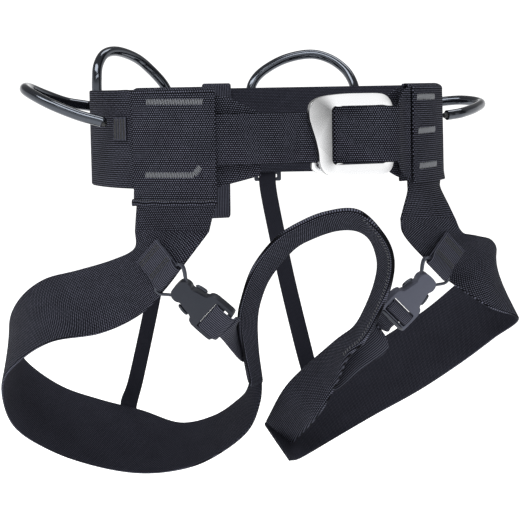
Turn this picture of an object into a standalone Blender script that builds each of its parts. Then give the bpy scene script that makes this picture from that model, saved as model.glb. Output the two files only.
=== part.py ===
"""Climbing harness of plain webbing: waist belt, two-plate buckle, leg loops, quick clips.

The wearer stands inside the belt and faces -Y, +X is the wearer's left and +Z is up.
The origin is the centre of the belt ring at half the belt's height.
Lengths in this file are millimetres and are turned into metres when a mesh is made.
"""
import math

import bmesh
import bpy
import numpy as np
from mathutils import Vector

MM = 0.001
GAP = 0.3                 # clearance between neighbouring pieces

# Waist belt: a ring, fuller at the front corners than an ellipse
BELT_A = 141.5            # half width, left to right
BELT_FRONT = 110.0        # half depth at the front
BELT_BACK = 104.0         # half depth at the back
FRONT_POWER = 2.6
BELT_H = 75.0             # height of the belt webbing
BELT_T = 2.4              # thickness of the belt and leg webbing
LAYER = BELT_T + GAP      # distance from one sewn layer to the next
PANEL_RIGHT = (206.5, 232.0)   # angles that the hip panels cover, degrees from +X
PANEL_LEFT = (309.0, 333.0)
BELT_START, BELT_END = 306.5, 607.0
PANEL_HEM = -50.0         # lower edge of the right hip panel
TAPER_FROM = 590.0        # the belt's end narrows from this angle on
PRESSED = 2.6             # the panels press the belt's upper edge down by this much
PANEL_TOP = BELT_H / 2 - PRESSED
LEFT_LEAN = 3.0           # the left panel is this many degrees narrower at its top
WIDE_COLUMNS = 6          # points across the wide webbing

# Waist strap and its buckle
STRAP_H = 38.0
STRAP_T = 2.0
STRAP_MID = -0.8          # height of the strap's middle line
STRAP_DEPTH = 104.0       # depth used to find the belt's angle at a given x
FIXED_H = 43.0            # fixed webbing that holds the buckle
FIXED_MID = 0.6
PLATE_T = 4.0             # front plate
PLATE_Y = -119.8
REAR_T = 3.4              # rear plate
REAR_Y = -113.2
FRONT_BAR = (54.0, 60.0)  # the front plate's hinge bar, from x to x
FRONT_HOLE = 7.8          # left edge of the front plate's opening
BAR_ROOM = 1.9            # room round that bar inside the fixed webbing
REAR_BAR_L = (-6.0, 0.0)  # rear plate's left bar, from x to x
REAR_BAR_R = (14.5, 20.5)

# Haul loop at the back
HAUL_W = 25.0
HAUL_T = 1.8
HAUL_LOW = -76.4          # the loop's flat lower turn

# Leg webbing tubes, tabs, rings and clips
TAB_W = 25.0
TAB_T = 1.6
RING_R = 1.25
CLIP_T = 8.0
STRAP25_T = 1.5
RISER_W = 15.0
RISER_T = 1.8
ARCH_T = 5.0              # the crotch loop is webbing folded in three
TUBE_R = 4.2              # outside radius of the gear loops
NYLON = (0.030, 0.032, 0.040, 1.0)
SMOOTH_ANGLE = math.radians(40)

# Leg loops: pairs of edge points (upper edge, lower edge) from the hip to the crotch
RIGHT_LEG = [
    ((-129, -56, -69), (-83, -95, -70)),
    ((-128, -50, -84), (-101, -89, -94)),
    ((-140, -30, -94), (-113, -75, -115)),
    ((-159, 2, -104), (-125, -47, -137)),
    ((-177, 34, -113), (-150, -25, -152)),
    ((-189, 60, -128), (-184, -8, -158)),
    ((-193, 89, -149), (-204, 20, -176)),
    ((-187, 113, -172), (-212, 48, -200)),
    ((-170, 133, -197), (-197, 78, -240)),
    ((-138, 142, -222), (-163, 88, -267)),
    ((-103, 141, -237), (-122, 87, -285)),
    ((-68, 130, -248), (-87, 71, -291)),
    ((-38, 112, -259), (-59, 44, -284)),
    ((-14, 87, -250), (-40, 19, -270)),
    ((-2, 55, -230), (-18, 1, -248)),
    ((-4, 30, -216), (-5, 4, -226)),
    ((-7, 18, -203), (0, 9, -205)),
]
LEFT_LEG = [
    ((135, -80, -70), (75, -102, -67)),
    ((140, -84, -82), (80, -97, -80)),
    ((160, -76, -87), (101, -90, -100)),
    ((180, -62, -92), (130, -80, -122)),
    ((193, -46, -103), (157, -98, -143)),
    ((199, -21, -116), (193, -83, -157)),
    ((189, 5, -133), (185, -57, -176)),
    ((166, 30, -161), (165, -35, -199)),
    ((137, 53, -186), (136, -13, -224)),
    ((102, 69, -211), (99, 3, -246)),
    ((67, 75, -232), (63, 8, -264)),
    ((36, 66, -246), (31, 1, -275)),
    ((17, 47, -253), (14, -16, -272)),
]
# Crotch loop: (inner edge, outer edge) from the right leg over the top to the left leg
ARCH = [
    ((-3, 3, -204), (-18, -8, -206)),
    ((-14, -18, -176), (-31, -28, -175)),
    ((-23, -40, -147), (-43, -49, -147)),
    ((-25, -55, -127), (-45, -64, -126)),
    ((-21, -67, -109), (-41, -78, -101)),
    ((-9, -83, -88), (-30, -95, -79)),
    ((4, -92, -79), (-16, -106, -67)),
    ((21, -101, -73), (4, -116, -58)),
    ((36, -106, -74), (27, -125, -57)),
    ((47, -107, -82), (46, -129, -76)),
    ((55, -102, -100), (57, -124, -95)),
    ((56, -94, -118), (58, -117, -117)),
    ((55, -78, -140), (54, -104, -142)),
    ((52, -64, -156), (48, -90, -164)),
    ((44, -46, -169), (40, -77, -178)),
    ((31, -13, -194), (40, -55, -202)),
    ((19, 7, -216), (31, -38, -231)),
    ((16, 39, -248), (30, 14, -264)),
]

MATERIALS = {
    "webbing": (NYLON, 0.85, 0.0),
    "strap_webbing": ((0.026, 0.028, 0.035, 1.0), 0.8, 0.0),
    "tape": ((0.020, 0.021, 0.026, 1.0), 0.8, 0.0),
    "tube": ((0.035, 0.042, 0.055, 1.0), 0.22, 0.0),
    "aluminium": ((0.80, 0.81, 0.83, 1.0), 0.25, 1.0),
    "clip_plastic": ((0.075, 0.078, 0.085, 1.0), 0.45, 0.0),
    "ring_plastic": ((0.045, 0.048, 0.052, 1.0), 0.4, 0.0),
}


def material(name):
    found = bpy.data.materials.get(name)
    if found:
        return found
    colour, rough, metal = MATERIALS[name]
    made = bpy.data.materials.new(name)
    made.use_nodes = True
    shader = made.node_tree.nodes["Principled BSDF"]
    shader.inputs["Base Color"].default_value = colour
    shader.inputs["Roughness"].default_value = rough
    shader.inputs["Metallic"].default_value = metal
    made.diffuse_color = colour
    return made


def add_object(name, mesh, mat, pivot=None, smooth=True):
    """Link a mesh given in world millimetres; its origin goes to the pivot."""
    at = Vector(pivot) if pivot else Vector((0, 0, 0))
    for vertex in mesh.vertices:
        vertex.co = (vertex.co - at) * MM
    mesh.materials.append(material(mat))
    if smooth:
        mesh.shade_smooth()
        mesh.set_sharp_from_angle(angle=SMOOTH_ANGLE)
    obj = bpy.data.objects.new(name, mesh)
    obj.location = at * MM
    bpy.context.scene.collection.objects.link(obj)
    return obj


def face_outwards(work):
    bmesh.ops.recalc_face_normals(work, faces=work.faces)
    if work.calc_volume(signed=True) < 0:
        bmesh.ops.reverse_faces(work, faces=work.faces)


def mesh_from(name, points, faces):
    mesh = bpy.data.meshes.new(name)
    mesh.from_pydata([tuple(p) for p in points], [], faces)
    work = bmesh.new()
    work.from_mesh(mesh)
    face_outwards(work)
    work.to_mesh(mesh)
    work.free()
    return mesh


def ring(phi, off=0.0):
    """Point of the belt ring's middle line at the angle phi, moved outwards by off."""
    c, s = math.cos(math.radians(phi)), math.sin(math.radians(phi))
    b, n = (BELT_FRONT, FRONT_POWER) if s < 0 else (BELT_BACK, 2.0)
    r = ((abs(c) / BELT_A) ** n + (abs(s) / b) ** n) ** (-1.0 / n)
    x, y = r * c, r * s
    gx = math.copysign((abs(x) / BELT_A) ** (n - 1) / BELT_A, x)
    gy = math.copysign((abs(y) / b) ** (n - 1) / b, y)
    g = math.hypot(gx, gy)
    return x + off * gx / g, y + off * gy / g


def smooth_rows(rows, steps):
    """Catmull-Rom curve through rows of points; each row is one line across a band."""
    rows = np.array(rows, float)
    count = len(rows)
    out = []
    for i in range(count - 1):
        p1, p2 = rows[i], rows[i + 1]
        p0 = rows[i - 1] if i > 0 else 2 * p1 - p2
        p3 = rows[i + 2] if i + 2 < count else 2 * p2 - p1
        for k in range(steps):
            t = k / steps
            out.append(0.5 * (2 * p1 + (p2 - p0) * t + (2 * p0 - 5 * p1 + 4 * p2 - p3) * t * t
                              + (3 * p1 - p0 - 3 * p2 + p3) * t ** 3))
    out.append(rows[-1])
    return np.array(out)


def across(a, b, columns=3):
    """A straight row between two edge points."""
    a, b = np.array(a, float), np.array(b, float)
    return [a + (b - a) * t for t in np.linspace(0, 1, columns)]


def grid_normals(grid):
    along = np.gradient(grid, axis=0)
    over = np.gradient(grid, axis=1)
    normals = np.cross(over, along)
    return normals / np.linalg.norm(normals, axis=2, keepdims=True)


def band(name, rows, thickness, mat, steps=1, pivot=None):
    """A webbing band: a grid of points given a thickness, closed all round."""
    grid = smooth_rows(rows, steps)
    normals = grid_normals(grid)
    half = thickness / 2
    n, m = grid.shape[:2]
    points = np.vstack([(grid + normals * half).reshape(-1, 3), (grid - normals * half).reshape(-1, 3)])
    base = n * m
    faces = []
    for i in range(n - 1):
        for j in range(m - 1):
            a, b, c, d = i * m + j, i * m + j + 1, (i + 1) * m + j + 1, (i + 1) * m + j
            faces.append((a, b, c, d))
            faces.append((base + d, base + c, base + b, base + a))
        for j in (0, m - 1):
            a, b = i * m + j, (i + 1) * m + j
            faces.append((a, b, base + b, base + a) if j == 0 else (b, a, base + a, base + b))
    for j in range(m - 1):
        a, b = j, j + 1
        faces.append((b, a, base + a, base + b))
        a, b = (n - 1) * m + j, (n - 1) * m + j + 1
        faces.append((a, b, base + b, base + a))
    return add_object(name, mesh_from(name, points, faces), mat, pivot)


def tube(name, route, radius, mat, pivot=None, closed=False, steps=4, sides=10):
    """A round bar along a smooth route."""
    pts = np.array(route, float)
    if closed:
        pts = np.vstack([pts[-1:], pts, pts[:2]])
        line = smooth_rows(pts[:, None, :], steps)[steps:-steps - 1, 0]
        line = line[:len(route) * steps]
    else:
        line = smooth_rows(pts[:, None, :], steps)[:, 0]
    n = len(line)
    if closed:
        tangents = np.roll(line, -1, axis=0) - np.roll(line, 1, axis=0)
    else:
        tangents = np.gradient(line, axis=0)
    tangents /= np.linalg.norm(tangents, axis=1, keepdims=True)
    centre = line.mean(axis=0)
    spread = line - centre
    flat = np.linalg.svd(spread, full_matrices=False)[2][2]
    points, faces = [], []
    for p, t in zip(line, tangents):
        u = np.cross(t, flat)
        u /= np.linalg.norm(u)
        v = np.cross(t, u)
        for k in range(sides):
            a = 2 * math.pi * k / sides
            points.append(p + radius * (math.cos(a) * u + math.sin(a) * v))
    for i in range(n if closed else n - 1):
        for k in range(sides):
            a, b = i * sides + k, i * sides + (k + 1) % sides
            c, d = ((i + 1) % n) * sides + (k + 1) % sides, ((i + 1) % n) * sides + k
            faces.append((a, b, c, d))
    if not closed:
        faces.append(tuple(range(sides - 1, -1, -1)))
        faces.append(tuple((n - 1) * sides + k for k in range(sides)))
    return add_object(name, mesh_from(name, points, faces), mat, pivot)


def plate(name, outline, holes, thickness, frame, mat, pivot=None, bevel=0.0):
    """A flat plate with holes: outlines in the frame's own u, v; frame = origin, u, v, n."""
    origin, u, v, n = (np.array(q, float) for q in frame)
    work = bmesh.new()
    loops = []
    for loop in [outline] + holes:
        verts = [work.verts.new(Vector((p[0], p[1], 0))) for p in loop]
        loops += [work.edges.new((verts[i], verts[(i + 1) % len(verts)])) for i in range(len(verts))]
    bmesh.ops.triangle_fill(work, use_beauty=True, use_dissolve=False, edges=loops)
    bmesh.ops.recalc_face_normals(work, faces=work.faces)
    made = bmesh.ops.extrude_face_region(work, geom=work.faces[:])
    top = [g for g in made["geom"] if isinstance(g, bmesh.types.BMVert)]
    for vert in work.verts:
        vert.co.z = -thickness / 2
    for vert in top:
        vert.co.z = thickness / 2
    bmesh.ops.recalc_face_normals(work, faces=work.faces)
    if bevel:
        rims = [e for e in work.edges if len(e.link_faces) == 2 and e.calc_face_angle(0) > 1.2
                and abs(e.verts[0].co.z - e.verts[1].co.z) < 1e-6]
        bmesh.ops.bevel(work, geom=rims, offset=bevel, segments=1, affect="EDGES", profile=0.5,
                        clamp_overlap=True)
    for vert in work.verts:
        place = origin + u * vert.co.x + v * vert.co.y + n * vert.co.z
        vert.co = Vector(place)
    face_outwards(work)
    mesh = bpy.data.meshes.new(name)
    work.to_mesh(mesh)
    work.free()
    return add_object(name, mesh, mat, pivot)


def rounded(x0, x1, z0, z1, r, count=4):
    """Outline of a rounded rectangle."""
    out = []
    corners = ((x1 - r, z1 - r, 0), (x0 + r, z1 - r, 90), (x0 + r, z0 + r, 180), (x1 - r, z0 + r, 270))
    for cx, cz, start in corners:
        for k in range(count + 1):
            a = math.radians(start + 90 * k / count)
            out.append((cx + r * math.cos(a), cz + r * math.sin(a)))
    return out


def belt_row(phi, z_top, z_low, off=0.0):
    x, y = ring(phi, off)
    return [(x, y, z_top + (z_low - z_top) * t) for t in (0.0, 0.5, 1.0)]


def panel_row(span, z, off, edge_lift=0.0, lift_side=1, columns=WIDE_COLUMNS):
    """A row across a hip panel: it follows the belt, and its front edge is lifted."""
    row = []
    for k in range(columns):
        t = k / (columns - 1)
        phi = span[0] + (span[1] - span[0]) * t
        near = t if lift_side > 0 else 1 - t
        x, y = ring(phi, off + edge_lift * near * near)
        row.append((x, y, z))
    return row


for old in list(bpy.data.objects):
    bpy.data.objects.remove(old, do_unlink=True)

# ---------------------------------------------------------------- waist belt
def belt_top(phi):
    """Height of the belt's upper edge: lower where a hip panel is folded over it."""
    inside = [low - 1.5 < phi % 360 < high + 1.5 for low, high in (PANEL_RIGHT, PANEL_LEFT)]
    return PANEL_TOP if any(inside) else BELT_H / 2


belt_rows = []
panel_ends = [PANEL_LEFT[0] - 1, PANEL_LEFT[1] + 1, PANEL_RIGHT[0] + 359, PANEL_RIGHT[1] + 361]
for phi in sorted([*np.linspace(BELT_START, BELT_END, 56), *panel_ends]):
    run = max(0.0, (phi - TAPER_FROM) / (BELT_END - TAPER_FROM))
    belt_rows.append(belt_row(phi, belt_top(phi) - 18.5 * run, -BELT_H / 2 + 9.0 * run))
band("waist_belt", belt_rows, BELT_T, "webbing")


def hip_panel(name, span, side, hem, lean=0.0):
    """Panel sewn over the belt: up the inside, over the top edge and down the outside."""
    def row(z, off, lift=0.0):
        narrow = lean * min(1.0, max(0.0, (z - hem) / (PANEL_TOP - hem)))
        return panel_row((span[0], span[1] - narrow), z, off, lift, side)

    rows = [row(-8.0, -LAYER), row(12.0, -LAYER), row(PANEL_TOP, -LAYER - 0.1)]
    rows += [row(PANEL_TOP + 2.5, -1.5), row(PANEL_TOP + 2.6, 1.8)]
    rows += [row(PANEL_TOP + 0.6, 2 * LAYER, 2.0)]
    rows += [row(z, 2 * LAYER + 0.2, 3.0) for z in (PANEL_TOP - 4, 12.0, -12.0, -30.0)]
    rows += [row((-30.0 + hem) / 2, 2 * LAYER + 0.6, 3.0), row(hem, 2 * LAYER + 1.2, 3.0)]
    return band(name, rows, BELT_T, "webbing")


hip_panel("right_hip_panel", PANEL_RIGHT, 1, PANEL_HEM)
hip_panel("left_hip_panel", PANEL_LEFT, -1, -BELT_H / 2 - 1.5, LEFT_LEAN)

# ---------------------------------------------------------------- risers of the leg loops
def blend_row(a_row, b_row, t):
    return [np.array(p) * (1 - t) + np.array(q) * t for p, q in zip(a_row, b_row)]


def leg_rows(edges):
    return [across(a, b, WIDE_COLUMNS) for a, b in edges]


def riser(name, span, first, low, flip=False):
    """Webbing from under the hip panel down to the leg loop's first row."""
    rows = [panel_row(span, z, LAYER) for z in (24.0, 0.0, -20.0, -38.5, -46.0)]
    if flip:
        rows = [row[::-1] for row in rows]
    target = across(first[0], first[1], WIDE_COLUMNS)
    rows.append(blend_row(rows[-1], target, low))
    rows.append(target)
    return band(name, rows, BELT_T, "webbing", 2)


def moved_in(row, inner, cut):
    """A row moved towards its inner neighbour by a length along the band."""
    row, inner = np.array(row), np.array(inner)
    return row + (inner - row) * (cut / np.linalg.norm(inner.mean(axis=0) - row.mean(axis=0)))


def trimmed(rows, start_cut, end_cut):
    """The rows with their first and last moved in."""
    return [moved_in(rows[0], rows[1], start_cut)] + rows[1:-1] + [moved_in(rows[-1], rows[-2], end_cut)]


riser("right_riser", PANEL_RIGHT, RIGHT_LEG[0], 0.55)
riser("left_riser", PANEL_LEFT, LEFT_LEG[0], 0.55, flip=True)
band("right_leg_loop", trimmed(leg_rows(RIGHT_LEG), 0.8, 0.4), BELT_T, "webbing", 3)
band("left_leg_loop", trimmed(leg_rows(LEFT_LEG), 0.8, 0.4), BELT_T, "webbing", 3)
band("crotch_loop", [across(a, b) for a, b in ARCH], ARCH_T, "webbing", 3)

# ---------------------------------------------------------------- waist strap, folded back
def strap_row(x, y, height, mid):
    return [(x, y, mid + height / 2 * s) for s in (1.0, 0.0, -1.0)]


STRAP_IN = REAR_Y + REAR_T / 2 + GAP + STRAP_T / 2
STRAP_OUT = REAR_Y - REAR_T / 2 - GAP - STRAP_T / 2


def along_belt(x, off, height, mid):
    """A strap row that lies along the belt's front at about x."""
    phi = math.degrees(math.atan2(-1.0, x / STRAP_DEPTH)) % 360
    return strap_row(*ring(phi, off), height, mid)


def hairpin(x_edge, y_in, y_out, side, height, mid):
    """Rows round a bar's edge from the inner layer to the outer one."""
    cy, ry = (y_in + y_out) / 2, (y_in - y_out) / 2
    rows = []
    for k in range(1, 8):
        a = math.pi * k / 8
        rows.append(strap_row(x_edge + side * (ry - STRAP_T * 0.4) * math.sin(a),
                              cy + ry * math.cos(a), height, mid))
    return rows


strap_rows = [along_belt(x, LAYER, STRAP_H, STRAP_MID) for x in (-77.0, -62.0, -46.0)]
strap_rows += [strap_row(x, y, STRAP_H, STRAP_MID)
               for x, y in ((-30.0, -111.6), (-16.0, STRAP_IN), (REAR_BAR_L[1] - 3.0, STRAP_IN),
                            (REAR_BAR_L[1] - 0.6, STRAP_IN))]
strap_rows += hairpin(REAR_BAR_L[1] + 0.6, STRAP_IN, STRAP_OUT, 1, STRAP_H, STRAP_MID)
strap_rows += [strap_row(x, y, STRAP_H, STRAP_MID)
               for x, y in ((REAR_BAR_L[1] - 0.6, STRAP_OUT), (REAR_BAR_L[1] - 3.0, STRAP_OUT),
                            (-16.0, STRAP_OUT), (-30.0, -115.0))]
strap_rows += [along_belt(x, 2 * LAYER, STRAP_H, STRAP_MID) for x in (-46.0, -62.0, -76.0, -88.0)]
band("waist_strap", strap_rows, STRAP_T, "strap_webbing", 2)

# ---------------------------------------------------------------- fixed webbing of the buckle
OVER = PLATE_Y - PLATE_T / 2 - BAR_ROOM - STRAP_T / 2
BEHIND = [(38.0, -109.2), (28.0, STRAP_IN), (REAR_BAR_R[0] + 3.0, STRAP_IN),
          (REAR_BAR_R[0] + 0.6, STRAP_IN)]
IN_FRONT = [(REAR_BAR_R[0] + 0.6, STRAP_OUT), (REAR_BAR_R[0] + 3.0, STRAP_OUT), (28.0, -117.0),
            (38.0, -119.4), (47.0, OVER + 2.0), (53.0, OVER + 0.2), (57.5, OVER)]
FLARE = [(61.0, OVER + 0.6, 42.0), (64.0, OVER + 2.4, 46.0), (67.5, -118.4, 54.0),
         (73.5, -112.6, 66.0), (79.5, -110.4, 72.0)]
fixed = [along_belt(x, -LAYER, h, FIXED_MID)
         for x, h in ((79.0, 70.0), (74.0, 67.0), (66.0, 60.0), (57.0, 49.0), (49.0, FIXED_H))]
fixed += [strap_row(x, y, FIXED_H, FIXED_MID) for x, y in BEHIND]
fixed += hairpin(REAR_BAR_R[0] - 0.6, STRAP_IN, STRAP_OUT, -1, FIXED_H, FIXED_MID)
fixed += [strap_row(x, y, FIXED_H, FIXED_MID) for x, y in IN_FRONT]
fixed += [strap_row(x, y, h, FIXED_MID) for x, y, h in FLARE]
band("buckle_webbing", fixed, STRAP_T, "webbing", 2)

# ---------------------------------------------------------------- buckle plates
plate_outline = [
    (60.0, 12.0), (59.5, 20.0), (57.0, 26.5), (52.5, 30.5), (46.0, 31.8), (34.0, 32.0), (18.0, 31.8),
    (4.0, 30.6), (-5.0, 28.4), (-10.0, 25.0), (-11.6, 20.0), (-11.4, 14.0), (-9.6, 8.0), (-7.4, 2.0),
    (-5.2, -5.0), (-3.6, -12.0), (-2.8, -19.0), (-0.4, -25.2), (4.6, -29.2), (13.0, -30.8), (26.0, -31.4),
    (40.0, -31.6), (50.0, -31.2), (55.5, -28.6), (59.0, -23.0), (60.0, -14.0), (60.0, 0.0)]
plate_hole = rounded(FRONT_HOLE, FRONT_BAR[0], -21.8, 22.8, 4.0, 3)
rear_outline = rounded(REAR_BAR_L[0], REAR_BAR_R[1], -27.5, 27.5, 5.0, 3)
rear_outline[4:8] = [(REAR_BAR_L[0] + 12.0, 27.5), (REAR_BAR_L[0] + 7.0, 26.4),
                     (REAR_BAR_L[0] + 2.0, 23.0), (REAR_BAR_L[0], 19.0)]
plate("buckle_front_plate", plate_outline, [plate_hole], PLATE_T,
      ((0, PLATE_Y, 0), (1, 0, 0), (0, 0, 1), (0, -1, 0)), "aluminium",
      pivot=(sum(FRONT_BAR) / 2, PLATE_Y, 0), bevel=0.9)
plate("buckle_rear_plate", rear_outline, [rounded(REAR_BAR_L[1], REAR_BAR_R[0], -21.8, 22.5, 2.0, 2)],
      REAR_T, ((0, REAR_Y, 0), (1, 0, 0), (0, 0, 1), (0, -1, 0)), "aluminium", bevel=0.6)

# ---------------------------------------------------------------- haul loop at the back
def haul_row(y, z):
    return [(HAUL_W / 2 * s, y, z) for s in (-1.0, 0.0, 1.0)]


back = BELT_BACK + BELT_T / 2 + GAP + HAUL_T / 2
front = BELT_BACK - BELT_T / 2 - GAP - HAUL_T / 2 - 0.3
haul = [(front, -24.0), (front, 0.0), (front, 36.5), (front + 0.8, 39.8), (BELT_BACK, 41.0),
        (back - 0.6, 39.8), (back + 0.2, 36.5), (back + 0.2, 0.0), (back + 0.6, -30.0),
        (back + 1.0, -55.0), (back + 1.2, -70.0), (back + 1.9, -74.8), (back + 3.8, HAUL_LOW),
        (back + 5.2, HAUL_LOW), (back + 9.6, HAUL_LOW), (back + 11.0, HAUL_LOW), (back + 12.4, -74.4),
        (back + 12.4, -67.0), (back + 10.8, -52.0), (back + 7.6, -38.0), (back + 4.2, -24.0),
        (back + 2.7, -8.0), (back + 2.7, 6.0)]
band("haul_loop", [haul_row(y, z) for y, z in haul], HAUL_T, "strap_webbing", 2)

# ---------------------------------------------------------------- gear loops
GEAR = {
    "right_front_gear_loop": [
        (-143.8, -36, 13), (-148.5, -35.5, 14), (-164, -29, 19), (-183, -18, 28), (-195, 4, 38),
        (-188, 28, 40.5), (-171, 43, 35), (-151, 52, 28.5), (-134, 55.5, 25.5), (-127.2, 59, 24.5)],
    "left_front_gear_loop": [
        (155, -31.5, 11.8), (160, -31, 12.2), (171, -29, 13.6), (190, -17, 17), (207, 4, 21),
        (200, 28, 23.5), (175, 43, 21), (151, 41, 18), (140.5, 39, 17)],
    "right_rear_gear_loop": [
        (-120.5, 66.6, 17), (-120, 66.7, 33), (-119.5, 67.7, 46), (-116.7, 72, 58.5), (-108.3, 79.3, 68),
        (-93.6, 89.6, 70), (-74.2, 101.2, 64.6), (-59.8, 107.2, 55), (-46.5, 109.1, 41),
        (-42, 107.6, 28), (-41.9, 107.3, 15)],
    "left_rear_gear_loop": [
        (33.4, 109.2, 13), (34, 109.2, 29), (36.7, 110.3, 41), (47.8, 112.2, 52), (68.4, 111.5, 62.4),
        (90.8, 106.2, 66.6), (106.4, 98.3, 62.4), (117, 87.5, 52), (120.5, 77.2, 39),
        (118.4, 70.3, 27), (117.8, 69.4, 12)],
}
# Sewn tabs that hold the ends: angle on the belt, height of the middle, width, height
GEAR_TABS = {
    "right_front_gear_tab_a": (199.7, 8.0, 15.0, 18.0),
    "right_front_gear_tab_b": (158.6, 25.0, 12.0, 16.0),
    "left_front_gear_tab_a": (344.0, 9.0, 14.0, 18.0),
    "left_front_gear_tab_b": (15.5, 17.0, 12.0, 16.0),
    "right_rear_gear_tab_a": (152.0, 12.0, 12.0, 16.0),
    "right_rear_gear_tab_b": (111.9, 12.0, 12.0, 16.0),
    "left_rear_gear_tab_a": (72.2, 10.0, 12.0, 16.0),
    "left_rear_gear_tab_b": (29.5, 9.0, 12.0, 16.0),
}


def gear_loop(name, route):
    ends = (np.array(route[0], float) + np.array(route[-1], float)) / 2
    return tube(name, route, TUBE_R, "tube", pivot=tuple(ends), steps=3, sides=10)


def clear_ring(route, lift):
    """Ends of the route moved outwards until the tube stands clear of the belt."""
    out = []
    for x, y, z in route:
        phi = math.degrees(math.atan2(y, x)) % 360
        rx, ry = ring(phi, lift)
        if math.hypot(x, y) < math.hypot(rx, ry):
            x, y = rx, ry
        out.append((x, y, z))
    return out


for key, line in GEAR.items():
    gear_loop(key, clear_ring(line, BELT_T / 2 + TUBE_R + 2.6))


def gear_tab(name, phi, z, width, height):
    """Sewn tab on the belt that holds a gear loop's end."""
    span = math.degrees(width / math.hypot(*ring(phi))) / 2
    off = BELT_T / 2 + GAP + TAB_T / 2
    rows = [[(*ring(phi + span * s, off), z + height * h) for s in (-1.0, -0.33, 0.33, 1.0)]
            for h in (0.5, 0.0, -0.5)]
    return band(name, rows, TAB_T, "strap_webbing")


for key, spec in GEAR_TABS.items():
    gear_tab(key, *spec)

# ---------------------------------------------------------------- rear risers
def riser_rows(points, width):
    """Rows across a riser: its middle point and its direction across."""
    return [[np.array(at) + np.array(over) / np.linalg.norm(over) * width / 2 * s for s in (-1.0, 1.0)]
            for at, over in points]


# The lower ends turn in under the leg loops' upper edges
RIGHT_BACK_RISER = [
    ((-42.0, 102.6, -22.0), (-0.95, -0.3, 0)), ((-42.0, 102.6, -38.0), (-0.95, -0.3, 0)),
    ((-44.5, 104.5, -60.0), (-0.96, -0.26, 0)), ((-58.0, 115.0, -140.0), (-0.97, -0.2, 0)),
    ((-72.0, 128.0, -215.0), (-0.97, -0.1, 0)), ((-76.5, 135.6, -237.0), (-0.95, 0.2, 0.2)),
    ((-77.6, 137.6, -244.0), (-0.92, 0.29, 0.29)), ((-78.0, 136.0, -249.4), (-0.92, 0.29, 0.29)),
    ((-79.0, 130.0, -254.0), (-0.92, 0.29, 0.29))]
LEFT_BACK_RISER = [
    ((46.0, 101.7, -22.0), (-0.94, 0.34, 0)), ((46.0, 101.7, -38.0), (-0.94, 0.34, 0)),
    ((47.5, 101.0, -60.0), (-0.95, 0.3, 0)), ((58.0, 91.0, -130.0), (-0.97, 0.25, 0)),
    ((69.0, 82.5, -190.0), (-0.97, 0.2, -0.2)), ((75.4, 79.6, -219.0), (-0.86, 0.15, -0.48)),
    ((76.2, 79.2, -226.0), (-0.85, 0.15, -0.51)), ((76.6, 76.6, -230.6), (-0.85, 0.15, -0.51)),
    ((77.0, 70.4, -234.6), (-0.85, 0.15, -0.51))]
band("right_back_riser", riser_rows(RIGHT_BACK_RISER, RISER_W), RISER_T, "tape", 3)
band("left_back_riser", riser_rows(LEFT_BACK_RISER, RISER_W), RISER_T, "tape", 3)


def riser_keeper(name, at, side_dir):
    """Plastic glide over the riser just below the belt's edge."""
    x, y, z = at
    ux, uy = side_dir
    n = np.array((uy, -ux, 0.0))
    if n[1] < 0:
        n = -n
    outline = rounded(-12.0, 12.0, -4.5, 4.5, 1.6, 2)
    origin = np.array((x, y, z)) + n * (RISER_T / 2 + GAP + 1.4)
    holes = [rounded(-8.4, -1.2, -1.5, 1.5, 0.6, 1), rounded(1.2, 8.4, -1.5, 1.5, 0.6, 1)]
    frame = (origin, (ux, uy, 0), (0, 0, 1), n)
    return plate(name, outline, holes, 2.2, frame, "ring_plastic", bevel=0.4)


riser_keeper("right_back_keeper", (-43.0, 103.4, -41.0), (-0.955, -0.296))
riser_keeper("left_back_keeper", (46.4, 101.6, -41.0), (-0.946, 0.324))

# ---------------------------------------------------------------- tabs, rings and clips
def unit(v):
    v = np.array(v, float)
    return v / np.linalg.norm(v)


BAR_AT = (2.6, 3.7)       # the ring's bar inside the tab's fold: along and above the tab
# Each clip: centre of the ring's bar, the bar's direction, then the tab's and the clip's directions
RIGHT_CLIP = {"bar": (-113.5, -82.7, -103.6), "v": (0.434, -0.579, 0.690),
              "tab_u": (0.414, -0.552, -0.724), "clip_u": (0.684, -0.283, -0.668)}
LEFT_CLIP = {"bar": (112.8, -93.9, -108.7), "v": (0.735, 0.193, -0.65),
             "tab_u": (-0.640, -0.060, -0.766), "clip_u": (-0.678, 0.209, -0.705)}


def clip_frame(spec, which):
    """Frame whose (BAR_AT) point is the bar's centre: origin, u along, v across, n outwards."""
    v = unit(spec["v"])
    u = np.array(spec[which], float)
    u = unit(u - v * np.dot(u, v))
    n = np.cross(u, v)
    if n[1] > 0:
        n = -n
    at = np.array(spec["bar"], float) - u * BAR_AT[0] - n * BAR_AT[1]
    return at, u, v, n


def local(frame, a, b, c):
    at, u, v, n = frame
    return at + u * a + v * b + n * c


TAB_PATH = [
    (-24.0, 1.0), (-12.0, 1.0), (-1.0, 1.0), (3.0, 1.2), (5.4, 2.2), (6.2, 3.9), (5.0, 5.6), (2.6, 6.2),
    (-0.6, 5.4), (-3.6, 3.8), (-7.0, 3.2), (-14.0, 3.2), (-24.0, 3.2)]
RING_PATH = [
    (2.6, -13.6), (4.4, -15.2), (8.0, -14.6), (13.0, -10.4), (18.0, -6.6), (19.8, -3.0), (19.8, 3.0),
    (18.0, 6.6), (13.0, 10.4), (8.0, 14.6), (4.4, 15.2), (2.6, 13.6), (2.6, 7.0), (2.6, 0.0), (2.6, -7.0)]
BODY_OUTLINE = [
    (12.0, 0.0), (12.5, 5.0), (14.6, 8.0), (18.0, 9.2), (20.8, 8.8), (22.4, 7.9), (24.4, 7.8), (28.5, 8.9),
    (33.4, 10.0), (35.8, 11.2), (36.8, 13.4), (39.6, 15.0), (43.4, 15.5), (56.6, 15.6), (59.2, 14.0),
    (60.0, 9.0), (60.2, 0.0)]
SLOT_A = (44.0, 47.8)
SLOT_B = (51.6, 56.2)
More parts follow.
